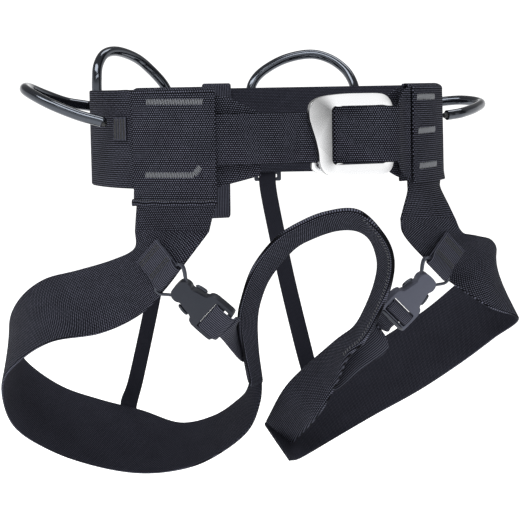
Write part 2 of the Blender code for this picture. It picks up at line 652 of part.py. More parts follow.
SLOT_W = 12.9
ARM_PATH = [(23.6, 11.0), (28.5, 12.5), (33.6, 12.9)]
ARM_R = 1.4
# Straps as (along, out from the clip's middle plane): over the end bar, or over the middle bar only
OVER_THE_END = [
    (53.0, -5.7), (48.4, -5.6), (46.0, -4.4), (45.2, 0.0), (46.0, 4.3), (49.6, 5.4), (55.0, 5.4), (59.4, 5.0),
    (61.8, 3.0), (62.4, 0.0), (62.8, -2.6), (65.4, -4.4)]
UNDER_THE_END = [
    (54.4, -7.6), (49.4, -7.4), (46.0, -5.4), (45.3, 0.0), (46.3, 4.5), (49.7, 5.4), (53.8, 4.5), (54.6, 0.0),
    (55.4, -4.7), (58.8, -5.8), (63.4, -6.4), (68.4, -7.2)]


def clip(side, spec):
    frame = clip_frame(spec, "clip_u")
    tab = clip_frame(spec, "tab_u")
    tab_rows = [[local(tab, a, TAB_W / 2 * s, c) for s in (-1.0, 0.0, 1.0)] for a, c in TAB_PATH]
    band(side + "_ring_tab", tab_rows, TAB_T, "strap_webbing", 2)
    pivot = tuple(local(frame, BAR_AT[0], 0, BAR_AT[1]))
    ring_line = [local(frame, a, b, BAR_AT[1]) for a, b in RING_PATH]
    tube(side + "_ring", ring_line, RING_R, "ring_plastic", pivot=pivot, closed=True, steps=2, sides=8)
    outline = BODY_OUTLINE + [(a, -b) for a, b in BODY_OUTLINE[-2:0:-1]]
    holes = [rounded(SLOT_A[0], SLOT_A[1], -SLOT_W, SLOT_W, 1.0, 2),
             rounded(SLOT_B[0], SLOT_B[1], -SLOT_W, SLOT_W, 1.0, 2)]
    head = (local(frame, 0, 0, BAR_AT[1]), *frame[1:])
    body = plate(side + "_clip_body", outline, holes, CLIP_T, head, "clip_plastic", pivot=pivot, bevel=1.0)
    cut = tube(side + "_groove", ring_line, RING_R + GAP, "ring_plastic", closed=True, steps=2, sides=8)
    cut.hide_render = True
    cut.display_type = "WIRE"
    mod = body.modifiers.new("groove", "BOOLEAN")
    mod.operation = "DIFFERENCE"
    mod.solver = "EXACT"
    mod.object = cut
    for sign, end in ((1, "a"), (-1, "b")):
        line = [local(frame, a, sign * b, BAR_AT[1]) for a, b in ARM_PATH]
        root = ARM_PATH[-1]
        arm_pivot = tuple(local(frame, root[0], sign * root[1], BAR_AT[1]))
        tube(side + "_clip_arm_" + end, line, ARM_R, "clip_plastic", pivot=arm_pivot, steps=3, sides=8)
    return frame


def leg_strap(side, frame, path, end_rows):
    """Strap looped through the clip's slots and on to the crotch webbing."""
    w = TAB_W / 2 - 0.4
    rows = [[local(frame, a, w * s, BAR_AT[1] + c) for s in (1.0, 0.0, -1.0)] for a, c in path]
    rows += [across(a, b) for a, b in end_rows]
    return band(side + "_leg_strap", rows, STRAP25_T, "strap_webbing", 3)


right_frame = clip("right", RIGHT_CLIP)
left_frame = clip("left", LEFT_CLIP)
leg_strap("right", right_frame, OVER_THE_END, [((-46, -49, -150), (-29, -22, -186))])
leg_strap("left", left_frame, UNDER_THE_END,
          [((59, -75, -153), (73, -83, -171)), ((49, -52, -172), (56, -68, -190)),
           ((40, -34, -188), (46, -49, -208))])
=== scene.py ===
"""Looks of the climbing harness: woven bands, sewn threads, buckle, clips and gear loops.

Lengths are millimetres and are turned into metres when a mesh is made; the blends' ends, the floor
and the lights are placed in metres.
The wearer faces -Y, +X is the wearer's left and +Z is up.
"""
import math

import bmesh
import bpy
import numpy as np
from mathutils import Matrix, Vector


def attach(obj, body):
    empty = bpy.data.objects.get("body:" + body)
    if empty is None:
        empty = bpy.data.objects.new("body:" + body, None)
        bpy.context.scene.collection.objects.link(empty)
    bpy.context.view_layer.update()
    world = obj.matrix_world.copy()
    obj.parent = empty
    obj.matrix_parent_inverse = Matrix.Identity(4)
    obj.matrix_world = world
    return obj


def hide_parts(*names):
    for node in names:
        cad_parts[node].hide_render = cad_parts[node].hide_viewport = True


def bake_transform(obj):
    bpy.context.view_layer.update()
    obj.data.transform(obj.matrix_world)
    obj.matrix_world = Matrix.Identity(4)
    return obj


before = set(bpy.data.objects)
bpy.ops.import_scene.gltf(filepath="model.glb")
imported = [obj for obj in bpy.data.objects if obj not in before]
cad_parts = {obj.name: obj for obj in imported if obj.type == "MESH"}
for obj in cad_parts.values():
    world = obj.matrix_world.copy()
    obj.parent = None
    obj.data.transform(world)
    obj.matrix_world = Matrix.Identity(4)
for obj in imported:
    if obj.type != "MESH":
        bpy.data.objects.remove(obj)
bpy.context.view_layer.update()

MM = 0.001
GAP = 0.3
BELT_A, BELT_FRONT, BELT_BACK, FRONT_POWER = 141.5, 110.0, 104.0, 2.6
BELT_H, BELT_T = 75.0, 2.4
LAYER = BELT_T + GAP
PANEL_RIGHT, PANEL_LEFT = (206.5, 232.0), (309.0, 333.0)
BELT_START, BELT_END, TAPER_FROM = 306.5, 607.0, 590.0
PANEL_HEM = -50.0         # the right panel's lower edge
PRESSED = 2.6              # the panels press the belt's upper edge down by this much
PANEL_TOP = BELT_H / 2 - PRESSED
LEFT_LEAN = 3.0
WIDE_COLUMNS = 6
STRAP_H, STRAP_T, STRAP_MID, STRAP_DEPTH = 38.0, 2.0, -0.8, 104.0
FIXED_H, FIXED_MID = 43.0, 0.6
PLATE_T, PLATE_Y, REAR_T, REAR_Y = 4.0, -119.8, 3.4, -113.2
BAR_ROOM = 2.3            # room between the front plate's bar and the webbing round it
FRONT_HOLE = 7.8
REAR_BAR_L, REAR_BAR_R = (-6.0, 0.0), (14.5, 20.5)
HAUL_W, HAUL_T, HAUL_LOW = 25.0, 1.8, -76.4
TAB_W, TAB_T, RING_R, CLIP_T, STRAP25_T = 25.0, 1.6, 1.25, 8.0, 1.5
RISER_W, RISER_T, ARCH_T, TUBE_R = 15.0, 1.8, 5.0, 4.2
WEB_W = 75.0              # width that the wide webbing is woven to

# Rows of the leg loops and the crotch loop: the webbing's upper and lower edge
RIGHT_LEG = [
    ((-129, -56, -69), (-83, -95, -70)), ((-128, -50, -84), (-101, -89, -94)),
    ((-140, -30, -94), (-113, -75, -115)), ((-159, 2, -104), (-125, -47, -137)),
    ((-177, 34, -113), (-150, -25, -152)), ((-189, 60, -128), (-184, -8, -158)),
    ((-193, 89, -149), (-204, 20, -176)), ((-187, 113, -172), (-212, 48, -200)),
    ((-170, 133, -197), (-197, 78, -240)), ((-138, 142, -222), (-163, 88, -267)),
    ((-103, 141, -237), (-122, 87, -285)), ((-68, 130, -248), (-87, 71, -291)),
    ((-38, 112, -259), (-59, 44, -284)), ((-14, 87, -250), (-40, 19, -270)),
    ((-2, 55, -230), (-18, 1, -248)), ((-4, 30, -216), (-5, 4, -226)),
    ((-7, 18, -203), (0, 9, -205)),
]
LEFT_LEG = [
    ((135, -80, -70), (75, -102, -67)), ((140, -84, -82), (80, -97, -80)),
    ((160, -76, -87), (101, -90, -100)), ((180, -62, -92), (130, -80, -122)),
    ((193, -46, -103), (157, -98, -143)), ((199, -21, -116), (193, -83, -157)),
    ((189, 5, -133), (185, -57, -176)), ((166, 30, -161), (165, -35, -199)),
    ((137, 53, -186), (136, -13, -224)), ((102, 69, -211), (99, 3, -246)),
    ((67, 75, -232), (63, 8, -264)), ((36, 66, -246), (31, 1, -275)),
    ((17, 47, -253), (14, -16, -272)),
]
ARCH = [
    ((-3, 3, -204), (-18, -8, -206)), ((-14, -18, -176), (-31, -28, -175)),
    ((-23, -40, -147), (-43, -49, -147)), ((-25, -55, -127), (-45, -64, -126)),
    ((-21, -67, -109), (-41, -78, -101)), ((-9, -83, -88), (-30, -95, -79)),
    ((4, -92, -79), (-16, -106, -67)), ((21, -101, -73), (4, -116, -58)),
    ((36, -106, -74), (27, -125, -57)), ((47, -107, -82), (46, -129, -76)),
    ((55, -102, -100), (57, -124, -95)), ((56, -94, -118), (58, -117, -117)),
    ((55, -78, -140), (54, -104, -142)), ((52, -64, -156), (48, -90, -164)),
    ((44, -46, -169), (40, -77, -178)), ((31, -13, -194), (40, -55, -202)),
    ((19, 7, -216), (31, -38, -231)), ((16, 39, -248), (30, 14, -264)),
]


# ---- curves and bands
def spline_at(points, where):
    """Catmull-Rom curve through points along the first axis, read at fractional places."""
    points = np.asarray(points, float)
    where = np.asarray(where, float)
    last = len(points) - 1
    i = np.clip(np.floor(where).astype(int), 0, last - 1)
    t = (where - i).reshape((-1,) + (1,) * (points.ndim - 1))
    first, end = 2 * points[:1] - points[1:2], 2 * points[-1:] - points[-2:-1]
    padded = np.concatenate([first, points, end])
    p0, p1, p2, p3 = (padded[i + k] for k in range(4))
    return 0.5 * (2 * p1 + (p2 - p0) * t + (2 * p0 - 5 * p1 + 4 * p2 - p3) * t * t
                  + (3 * p1 - p0 - 3 * p2 + p3) * t ** 3)


def unit(v):
    v = np.array(v, float)
    return v / np.linalg.norm(v)


def ring(phi, off=0.0):
    """Point of the belt ring's middle line at the angle phi, moved outwards by off."""
    c, s = math.cos(math.radians(phi)), math.sin(math.radians(phi))
    b, n = (BELT_FRONT, FRONT_POWER) if s < 0 else (BELT_BACK, 2.0)
    r = ((abs(c) / BELT_A) ** n + (abs(s) / b) ** n) ** (-1.0 / n)
    x, y = r * c, r * s
    gx = math.copysign((abs(x) / BELT_A) ** (n - 1) / BELT_A, x)
    gy = math.copysign((abs(y) / b) ** (n - 1) / b, y)
    g = math.hypot(gx, gy)
    return x + off * gx / g, y + off * gy / g


def across(a, b, columns=3):
    a, b = np.array(a, float), np.array(b, float)
    return [a + (b - a) * t for t in np.linspace(0, 1, columns)]


class Band:
    """A strip of webbing: its middle surface as a fine grid, and lengths along it."""

    def __init__(self, rows, thickness, steps, columns, centre=None, width=None):
        rows = np.array(rows, float)
        grid = spline_at(rows, np.linspace(0, len(rows) - 1, (len(rows) - 1) * steps + 1))
        self.width = width or float(np.linalg.norm(np.diff(grid, axis=1), axis=2).sum(axis=1).mean())
        rim = thickness / 2 / self.width
        self.shares = np.concatenate([np.array((0, 0.12, 0.45, 1.0)) * rim,
                                      np.linspace(0, 1, columns)[1:-1],
                                      1 - np.array((1.0, 0.45, 0.12, 0)) * rim])
        grid = spline_at(grid.swapaxes(0, 1), self.shares * (rows.shape[1] - 1)).swapaxes(0, 1)
        normals = np.cross(np.gradient(grid, axis=1), np.gradient(grid, axis=0))
        normals /= np.linalg.norm(normals, axis=2, keepdims=True)
        if centre is not None and (normals * (grid - np.array(centre, float))).sum(axis=2).mean() < 0:
            normals = -normals
        self.grid, self.normals, self.thickness = grid, normals, thickness
        middle = grid[:, grid.shape[1] // 2]
        self.lengths = np.concatenate([[0], np.cumsum(np.linalg.norm(np.diff(middle, axis=0), axis=1))])

    def at(self, s, share, lift=0.0):
        """Point and normal at s along the band and a share of its width, lifted off its middle."""
        i = np.interp(s, self.lengths, np.arange(len(self.lengths)))
        j = np.interp(share, self.shares, np.arange(len(self.shares)))
        i0, j0 = min(int(i), len(self.lengths) - 2), min(int(j), len(self.shares) - 2)
        fi, fj = i - i0, j - j0
        found = []
        for table in (self.grid, self.normals):
            low = table[i0, j0] * (1 - fj) + table[i0, j0 + 1] * fj
            high = table[i0 + 1, j0] * (1 - fj) + table[i0 + 1, j0 + 1] * fj
            found.append(low * (1 - fi) + high * fi)
        normal = unit(found[1])
        return found[0] + normal * lift, normal

    def near(self, point, first=0.0):
        """Length and share of the middle surface's nearest place to a point, from a length on."""
        point = np.array(point, float)
        gap = np.linalg.norm(self.grid - point, axis=2)
        gap[self.lengths < first] = 1e9
        i, j = np.unravel_index(np.argmin(gap), gap.shape)
        s, share = float(self.lengths[i]), float(self.shares[j])
        step = 4.0
        while step > 0.05:
            tries = [(s + step * p, share + step * q / self.width) for p in (-1, 0, 1) for q in (-1, 0, 1)]
            tries = [(min(max(p, first), self.lengths[-1]), min(max(q, 0.0), 1.0)) for p, q in tries]
            found = [float(np.linalg.norm(self.at(p, q)[0] - point)) for p, q in tries]
            best = tries[int(np.argmin(found))]
            step = step / 2 if best == (s, share) else step
            s, share = best
        return s, share


def add_object(name, data):
    obj = bpy.data.objects.new(name, data)
    bpy.context.scene.collection.objects.link(obj)
    return obj


def new_mesh(name, mats):
    mesh = bpy.data.meshes.new(name)
    for mat in mats:
        mesh.materials.append(mat)
    return mesh


def solid_object(name, mesh, work, sharp):
    """The closed shape in work as an object, facing outwards, smooth up to the sharp angle."""
    if work.calc_volume(signed=True) < 0:
        bmesh.ops.reverse_faces(work, faces=work.faces)
    work.to_mesh(mesh)
    work.free()
    mesh.shade_smooth()
    mesh.set_sharp_from_angle(angle=math.radians(sharp))
    return add_object(name, mesh)


def finish_mesh(name, points, faces, mats, indices=None, uvs=None, sharp=50):
    """A new object from points in millimetres and faces."""
    mesh = new_mesh(name, mats)
    mesh.from_pydata([tuple(float(c) * MM for c in p) for p in points], [], faces)
    if indices is not None:
        mesh.polygons.foreach_set("material_index", indices)
    if uvs is not None:
        layer = mesh.uv_layers.new(name="weave")
        loops = np.zeros(len(mesh.loops), int)
        mesh.loops.foreach_get("vertex_index", loops)
        layer.data.foreach_set("uv", (np.asarray(uvs)[loops] * MM).ravel())
    work = bmesh.new()
    work.from_mesh(mesh)
    bmesh.ops.recalc_face_normals(work, faces=work.faces)
    return solid_object(name, mesh, work, sharp)


EDGE_SHARE = 0.3          # thickness of a band's very edge, as a share of its middle's
UV_OFFSET = 400.0         # keeps the weave's coordinates above zero


def band_object(name, band, outer, inner=None, turned=False):
    """The band as a closed strip with rounded edges; outer and inner faces have their materials."""
    grid, normals = band.grid, band.normals
    n, m = grid.shape[:2]
    rim = band.thickness / 2 / band.width
    edge = np.clip(np.minimum(band.shares, 1 - band.shares) / rim, 0, 1)
    half = band.thickness / 2 * np.maximum(EDGE_SHARE, np.sqrt(1 - (1 - edge) ** 2))[None, :, None]
    top, low = grid + normals * half, grid - normals * half
    points = np.vstack([top.reshape(-1, 3), low.reshape(-1, 3)])
    run = np.repeat(band.lengths[:, None], m, axis=1)
    spans = np.linalg.norm(np.diff(grid, axis=1), axis=2).sum(axis=1)
    over = (band.shares - 0.5)[None, :] * spans[:, None]
    if turned:
        run, over = over, run
    uv = np.stack([run, over], axis=2).reshape(-1, 2) + UV_OFFSET
    base = n * m
    faces, indices = [], []

    def wall(a, b):
        faces.append((a, b, base + b, base + a))
        indices.append(0)

    for i in range(n - 1):
        for j in range(m - 1):
            a, d = i * m + j, (i + 1) * m + j
            b, c = a + 1, d + 1
            faces += [(a, b, c, d), (base + d, base + c, base + b, base + a)]
            indices += [0, 1 if inner else 0]
        wall(i * m, (i + 1) * m)
        wall((i + 2) * m - 1, (i + 1) * m - 1)
    for j in range(m - 1):
        wall(j + 1, j)
    for j in range(base - m, base - 1):
        wall(j, j + 1)
    mats = [outer] + ([inner] if inner else [])
    return finish_mesh(name, points, faces, mats, indices, np.vstack([uv, uv]))


def tube_points(line, radii, sides):
    """Rings of points round a line, each turned by the plane that the line lies in best."""
    line = np.asarray(line, float)
    tangents = np.gradient(line, axis=0)
    tangents /= np.linalg.norm(tangents, axis=1, keepdims=True)
    flat = np.linalg.svd(line - line.mean(axis=0), full_matrices=False)[2][2]
    points = []
    for p, t, r in zip(line, tangents, radii):
        u = unit(np.cross(t, flat))
        v = np.cross(t, u)
        for k in range(sides):
            a = 2 * math.pi * k / sides
            points.append(p + r * (math.cos(a) * u + math.sin(a) * v))
    return points


def tube_faces(count, sides, base=0, closed=False):
    faces = []
    for i in range(count if closed else count - 1):
        nxt = (i + 1) % count
        for k in range(sides):
            k2 = (k + 1) % sides
            faces.append(tuple(base + row * sides + col
                               for row, col in ((i, k), (i, k2), (nxt, k2), (nxt, k))))
    if not closed:
        faces.append(tuple(base + k for k in range(sides - 1, -1, -1)))
        faces.append(tuple(base + (count - 1) * sides + k for k in range(sides)))
    return faces


def tube_object(name, route, radius, mat, steps=10, sides=20, closed=False, ends=None):
    """A round bar along a smooth route; ends gives the radius shares near the two ends."""
    route = np.array(route, float)
    if closed:
        padded = np.vstack([route[-2:], route, route[:3]])
        line = spline_at(padded, np.linspace(2, 2 + len(route), len(route) * steps + 1))[:-1]
        wide = np.vstack([line[-1:], line, line[:1]])
        points = tube_points(wide, [radius] * len(wide), sides)[sides:-sides]
    else:
        line = spline_at(route, np.linspace(0, len(route) - 1, (len(route) - 1) * steps + 1))
        radii = np.full(len(line), radius, float)
        if ends is not None:
            radii[:len(ends)] *= ends
            radii[-len(ends):] *= ends[::-1]
        points = tube_points(line, radii, sides)
    count = len(points) // sides
    return finish_mesh(name, points, tube_faces(count, sides, closed=closed), [mat])


# ---- threads
THREAD_RISE, THREAD_SINK = 1.12, 0.75    # a thread's middle and ends off the surface, in radii


def threads(name, runs, radius, mat):
    """Raised threads: each run is (start, end, normal); both ends dive under the surface."""
    points, faces = [], []
    sides, stations = 6, 5
    for start, end, normal in runs:
        start, end = np.array(start, float), np.array(end, float)
        along = unit(end - start)
        side = unit(np.cross(normal, along))
        up = np.cross(along, side)
        base = len(points)
        for k in range(stations):
            t = k / (stations - 1)
            swell = math.sin(math.pi * t)
            mid = start + (end - start) * t + up * radius * (THREAD_RISE * swell - THREAD_SINK)
            r = radius * (0.6 + 0.4 * swell)
            for q in range(sides):
                a = 2 * math.pi * q / sides
                points.append(mid + r * (math.cos(a) * side + math.sin(a) * up))
        faces += tube_faces(stations, sides, base)
    return finish_mesh(name, points, faces, [mat], sharp=80)


STITCH_HALF = 0.4         # half a stitch, as a share of the pitch


def stitch_line(band, path, pitch):
    """Runs of one row of stitches along (length, share) corners on a band's outer face."""
    path = np.array(path, float)
    real = path * np.array((1.0, band.width))
    steps = np.concatenate([[0], np.cumsum(np.linalg.norm(np.diff(real, axis=0), axis=1))])
    runs = []
    count = max(1, int(steps[-1] / pitch))
    for k in range(count):
        ends = []
        for place_on in (k + 0.5 - STITCH_HALF, k + 0.5 + STITCH_HALF):
            here = steps[-1] * place_on / count
            s = np.interp(here, steps, path[:, 0])
            share = np.interp(here, steps, path[:, 1])
            point, normal = band.at(s, share, band.thickness / 2)
            ends.append(point)
        runs.append((*ends, normal))
    return runs


def bartack(band, start, end, width, pitch=1.2, side=1):
    """Runs of close cross stitches from one (length, share) place to another."""
    a, b = np.array(start, float), np.array(end, float)
    scale = np.array((1.0, band.width))
    real = (b - a) * scale
    length = np.linalg.norm(real)
    cross = np.array((-real[1], real[0])) / length / scale
    runs = []
    count = int(length / pitch)
    for k in range(count):
        mid = a + (b - a) * (k + 0.5) / count
        slant = (b - a) / length * pitch * 0.35
        wobble = 0.04 * width * math.sin(k * 2.4)
        low, high = mid - cross * (width / 2 + wobble) - slant, mid + cross * (width / 2 - wobble) + slant
        p, n = band.at(low[0], low[1], side * band.thickness / 2)
        q = band.at(high[0], high[1], side * band.thickness / 2)[0]
        runs.append((p, q, n * side))
    return runs


# ---- materials
class Graph:
    """A node tree that ends in one shader, with short calls for the nodes used here."""

    def __init__(self, owner, shader="Principled BSDF"):
        owner.use_nodes = True
        self.tree = owner.node_tree
        self.shader = self.tree.nodes[shader]

    def put(self, node, key, value):
        """Link a socket to an input, or set the input to a number or colour."""
        if isinstance(value, bpy.types.NodeSocket):
            self.tree.links.new(value, node.inputs[key])
        else:
            node.inputs[key].default_value = value

    def add(self, kind, *values, **settings):
        """A new node; values fill its inputs in order, and None leaves one as it is."""
        node = self.tree.nodes.new("ShaderNode" + kind)
        for key, value in settings.items():
            setattr(node, key, value)
        for key, value in enumerate(values):
            if value is not None:
                self.put(node, key, value)
        return node

    def math(self, op, a, b=None, clamp=False):
        return self.add("Math", a, b, operation=op, use_clamp=clamp).outputs[0]

    def coords(self, kind):
        return self.add("TexCoord").outputs[kind]

    def split(self, vector):
        return self.add("SeparateXYZ", vector).outputs

    def noise(self, vector, scale, detail=2.0):
        return self.add("TexNoise", vector, None, scale, detail).outputs["Fac"]

    def mix(self, share, a, b):
        node = self.add("Mix", share, data_type="RGBA")
        self.put(node, 6, a)
        self.put(node, 7, b)
        return node.outputs[2]

    def spread(self, value, low, high, start=0.0, end=1.0, kind="LINEAR"):
        """A start..end value spread to low..high."""
        return self.add("MapRange", value, start, end, low, high, interpolation_type=kind).outputs[0]

    def bump(self, height, distance, strength):
        node = self.add("Bump")
        for key, value in (("Strength", strength), ("Distance", distance), ("Height", height)):
            self.put(node, key, value)
        self.set(Normal=node.outputs[0])

    def set(self, **values):
        for key, value in values.items():
            self.put(self.shader, key.replace("_", " "), value)


def grey(value, blue=1.2):
    """A linear near-grey colour, slightly blue."""
    return (value * 0.96, value, value * blue, 1.0)


def webbing_material(name, along, over, dark, light, shift=0.5, rib=0.0, rough=0.62, depth=0.28,
                     level=0.08):
    """Woven nylon: ovals of yarn along the band, each second row shifted; the bright colour on the yarn
    crowns is a painted highlight and the dark gaps between them painted shade; with mottling.
    """
    mat = bpy.data.materials.new(name)
    g = Graph(mat)
    uv = g.add("UVMap", uv_map="weave").outputs["UV"]
    split = g.split(uv)
    wander = g.spread(g.noise(uv, 900.0, 1.0), -0.16, 0.16)
    b = g.math("DIVIDE", split[1], over * MM)
    odd = g.math("MULTIPLY", g.math("MODULO", g.math("FLOOR", b), 2.0), shift)
    a = g.math("ADD", g.math("DIVIDE", split[0], along * MM), odd)
    rise_a, rise_b = (g.math("SINE", g.math("MULTIPLY", g.math("FRACT", place_in), math.pi))
                      for place_in in (g.math("ADD", a, wander), b))
    oval = g.math("MULTIPLY", rise_a, rise_b)
    if rib:
        oval = g.math("ADD", g.math("MULTIPLY", oval, 1 - rib), g.math("MULTIPLY", rise_b, rib))
    # The sharpened yarn crowns: they set the gloss and mask the painted highlight.
    crown_glint = g.math("POWER", oval, 3.0, clamp=True)
    mottle = g.spread(g.noise(uv, 45.0, 3.0), 0.7, 1.3)
    fuzz = g.spread(g.noise(uv, 2600.0, 2.0), 0.75, 1.25)
    share = g.math("MULTIPLY", g.math("MULTIPLY", crown_glint, mottle), fuzz, clamp=True)
    # Base colour: painted highlight on the yarn crowns, varied by noise, over painted shade in the gaps.
    g.set(Base_Color=g.mix(share, grey(dark, 1.5), grey(light, 1.35)),
          Roughness=g.spread(crown_glint, rough + 0.25, rough), Specular_IOR_Level=level)
    g.bump(oval, depth * MM, 0.9)
    return mat


def plastic_material(name, tone, rough, grain, level=0.5):
    """Moulded plastic: slightly cloudy, with a fine grain."""
    mat = bpy.data.materials.new(name)
    g = Graph(mat)
    at = g.coords("Object")
    cloud = g.spread(g.noise(at, 120.0, 3.0), 0.85, 1.15)
    fine = g.noise(at, grain)
    low, high = grey(tone * 0.8, 1.35), grey(tone * 1.2, 1.35)
    g.set(Base_Color=g.mix(g.math("MULTIPLY", cloud, 0.5), low, high),
          Roughness=g.spread(fine, rough - 0.05, rough + 0.08),
          Specular_IOR_Level=level, Specular_Tint=(0.78, 0.86, 1.0, 1.0))
    g.bump(fine, 0.03 * MM, 0.35)
    return mat


def metal_material(name, tone, low, high, stretch):
    """Satin or polished aluminium with faint scratches along one way."""
    mat = bpy.data.materials.new(name)
    g = Graph(mat)
    at = g.coords("Object")
    brushed = g.noise(g.add("VectorMath", at, stretch, operation="MULTIPLY").outputs[0], 900.0, 3.0)
    cloud = g.noise(at, 60.0)
    g.set(Base_Color=g.mix(cloud, (tone * 0.94, tone * 0.95, tone * 0.97, 1.0), (tone, tone, tone, 1.0)),
          Roughness=g.spread(brushed, low, high), Metallic=1.0)
    g.bump(brushed, 0.01 * MM, 0.1)
    return mat


def thread_material(name, tone):
    mat = bpy.data.materials.new(name)
    g = Graph(mat)
    twist = g.noise(g.coords("Object"), 3000.0)
    g.set(Base_Color=g.mix(twist, grey(tone * 0.6, 1.08), grey(tone * 1.3, 1.08)), Roughness=0.6)
    g.bump(twist, 0.05 * MM, 0.6)
    return mat


# Each webbing's light tone is a painted highlight on the yarn crowns, and its dark tone is painted shade in
# the gaps.
WEB = webbing_material("web_outer", 1.8, 1.6, 0.0015, 0.120, level=0.05)
WEB_IN = webbing_material("web_inner", 1.5, 1.3, 0.0080, 0.070, rough=0.8, depth=0.15)
STRAP = webbing_material("strap_outer", 1.8, 1.5, 0.0015, 0.115, level=0.05)
RIBBED = webbing_material("ribbed_tape", 1.2, 1.6, 0.004, 0.085, shift=0.0, rib=0.8, depth=0.35)
TAPE = webbing_material("plain_tape", 1.1, 1.0, 0.009, 0.030, rib=0.3, rough=0.85, depth=0.1)
TUBE = plastic_material("tube_gloss", 0.004, 0.08, 500.0, level=1.0)
PLASTIC_GLOSS = plastic_material("lever_gloss", 0.010, 0.2, 1500.0)
PLASTIC_DARK = plastic_material("ring_satin", 0.022, 0.3, 2200.0)
CLIP_MATS = {"right": plastic_material("clip_satin_a", 0.012, 0.42, 2200.0, level=0.3),
             "left": plastic_material("clip_satin_b", 0.056, 0.42, 2200.0, level=0.3)}
SATIN = metal_material("aluminium_satin", 0.86, 0.12, 0.20, (0.15, 1.0, 1.0))
POLISHED = metal_material("aluminium_polished", 0.95, 0.08, 0.14, (1.0, 1.0, 1.0))
# Dark metal for the plates' steep side walls: a painted dark outline of shade.
SHADED_EDGE_METAL = metal_material("aluminium_painted_dark_edge", 0.30, 0.25, 0.35, (1.0, 1.0, 1.0))
THREAD_GREY = thread_material("thread_grey", 0.15)
THREAD_DARK = thread_material("thread_dark", 0.016)
THREAD_MID = thread_material("thread_mid", 0.07)

RISER_BLEND = ("belt", "leg_loops")


def label(nodes):
    """Hide the model's parts that a piece stands for."""
    if nodes:
        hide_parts(*nodes)


def place(obj, body, slot, *nodes):
    """Put a piece on its body."""
    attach(obj, body)
    label(nodes)


def place_blend(obj, bodies, ends, slot, *nodes):
    """Bake a soft piece's place into its mesh and hide the parts that it stands for."""
    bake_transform(obj)
    label(nodes)


# ---- waist belt
def belt_row(phi, z_top, z_low):
    x, y = ring(phi)
    return [(x, y, z_top + (z_low - z_top) * t) for t in (0.0, 0.25, 0.5, 0.75, 1.0)]


def belt_top(phi):
    inside = [low - 1.5 < phi % 360 < high + 1.5 for low, high in (PANEL_RIGHT, PANEL_LEFT)]
    return PANEL_TOP if any(inside) else BELT_H / 2


belt_rows = []
panel_ends = [PANEL_LEFT[0] - 1, PANEL_LEFT[1] + 1, PANEL_RIGHT[0] + 359, PANEL_RIGHT[1] + 361]
for phi in sorted([*np.linspace(BELT_START, BELT_END, 56), *panel_ends]):
    run = max(0.0, (phi - TAPER_FROM) / (BELT_END - TAPER_FROM))
    belt_rows.append(belt_row(phi, belt_top(phi) - 18.5 * run, -BELT_H / 2 + 9.0 * run))
belt = Band(belt_rows, BELT_T, 4, 9, centre=(0, 0, 0))
place(band_object("belt_webbing", belt, WEB, WEB_IN), "belt", "webbing", "waist_belt")


# ---- hip panels
def panel_row(span, z, off, edge_lift=0.0, lift_side=1):
    """A level row of a panel; its edge on the lift side stands off the belt by edge_lift more."""
    row = []
    for k in range(WIDE_COLUMNS):
        t = k / (WIDE_COLUMNS - 1)
        near = t if lift_side > 0 else 1 - t
        x, y = ring(span[0] + (span[1] - span[0]) * t, off + edge_lift * near * near)
        row.append((x, y, z))
    return row


def hip_panel(side, span, lift_side, hem, lean=0.0):
    """Webbing from behind the belt over its top edge and down its outside to the hem."""
    def row(z, off, lift=0.0):
        narrow = lean * min(1.0, max(0.0, (z - hem) / (PANEL_TOP - hem)))
        return panel_row((span[0], span[1] - narrow), z, off, lift, lift_side)

    rows = [row(-8.0, -LAYER), row(12.0, -LAYER), row(PANEL_TOP, -LAYER - 0.1)]
    rows += [row(PANEL_TOP + 2.5, -1.5), row(PANEL_TOP + 2.6, 1.8)]
    rows += [row(PANEL_TOP + 0.6, 2 * LAYER, 2.0)]
    rows += [row(z, 2 * LAYER + 0.2, 3.0) for z in (PANEL_TOP - 4, 12.0, -12.0, -30.0)]
    rows += [row((-30.0 + hem) / 2, 2 * LAYER + 0.6, 3.0), row(hem, 2 * LAYER + 1.2, 3.0)]
    band = Band(rows, BELT_T, 6, 12, centre=(0, 0, 0))
    panel = band_object(side + "_panel_webbing", band, WEB, WEB_IN, turned=True)
    place(panel, "belt", "webbing", side + "_hip_panel")
    return band


right_panel = hip_panel("right", PANEL_RIGHT, 1, PANEL_HEM)
left_panel = hip_panel("left", PANEL_LEFT, -1, -BELT_H / 2 - 1.5, LEFT_LEAN)
OUTSIDE = 62.0            # length along a panel from which it runs down the outside


def on_panel(band, phi, z):
    return band.near((*ring(phi, 2 * LAYER + 1.0), z), OUTSIDE)


def panel_tacks(name, band, tacks, width):
    runs = []
    for start, end in tacks:
        runs += bartack(band, on_panel(band, *start), on_panel(band, *end), width)
    place(threads(name, runs, 0.42, THREAD_GREY), "belt", "webbing")


panel_tacks("right_panel_tacks", right_panel,
            [((211.6, 28.5), (228.5, 27.8)), ((210.8, -26.4), (225.6, -26.5)),
             ((225.6, -26.0), (227.4, -20.4))], 5.0)
panel_tacks("left_panel_tacks", left_panel,
            [((310.6, 30.1), (321.5, 31.2)), ((311.2, 1.7), (321.8, 2.3)),
             ((311.8, -25.7), (322.8, -25.3))], 5.6)


HEM_HEIGHT, HEM_ROWS = 5.2, 25


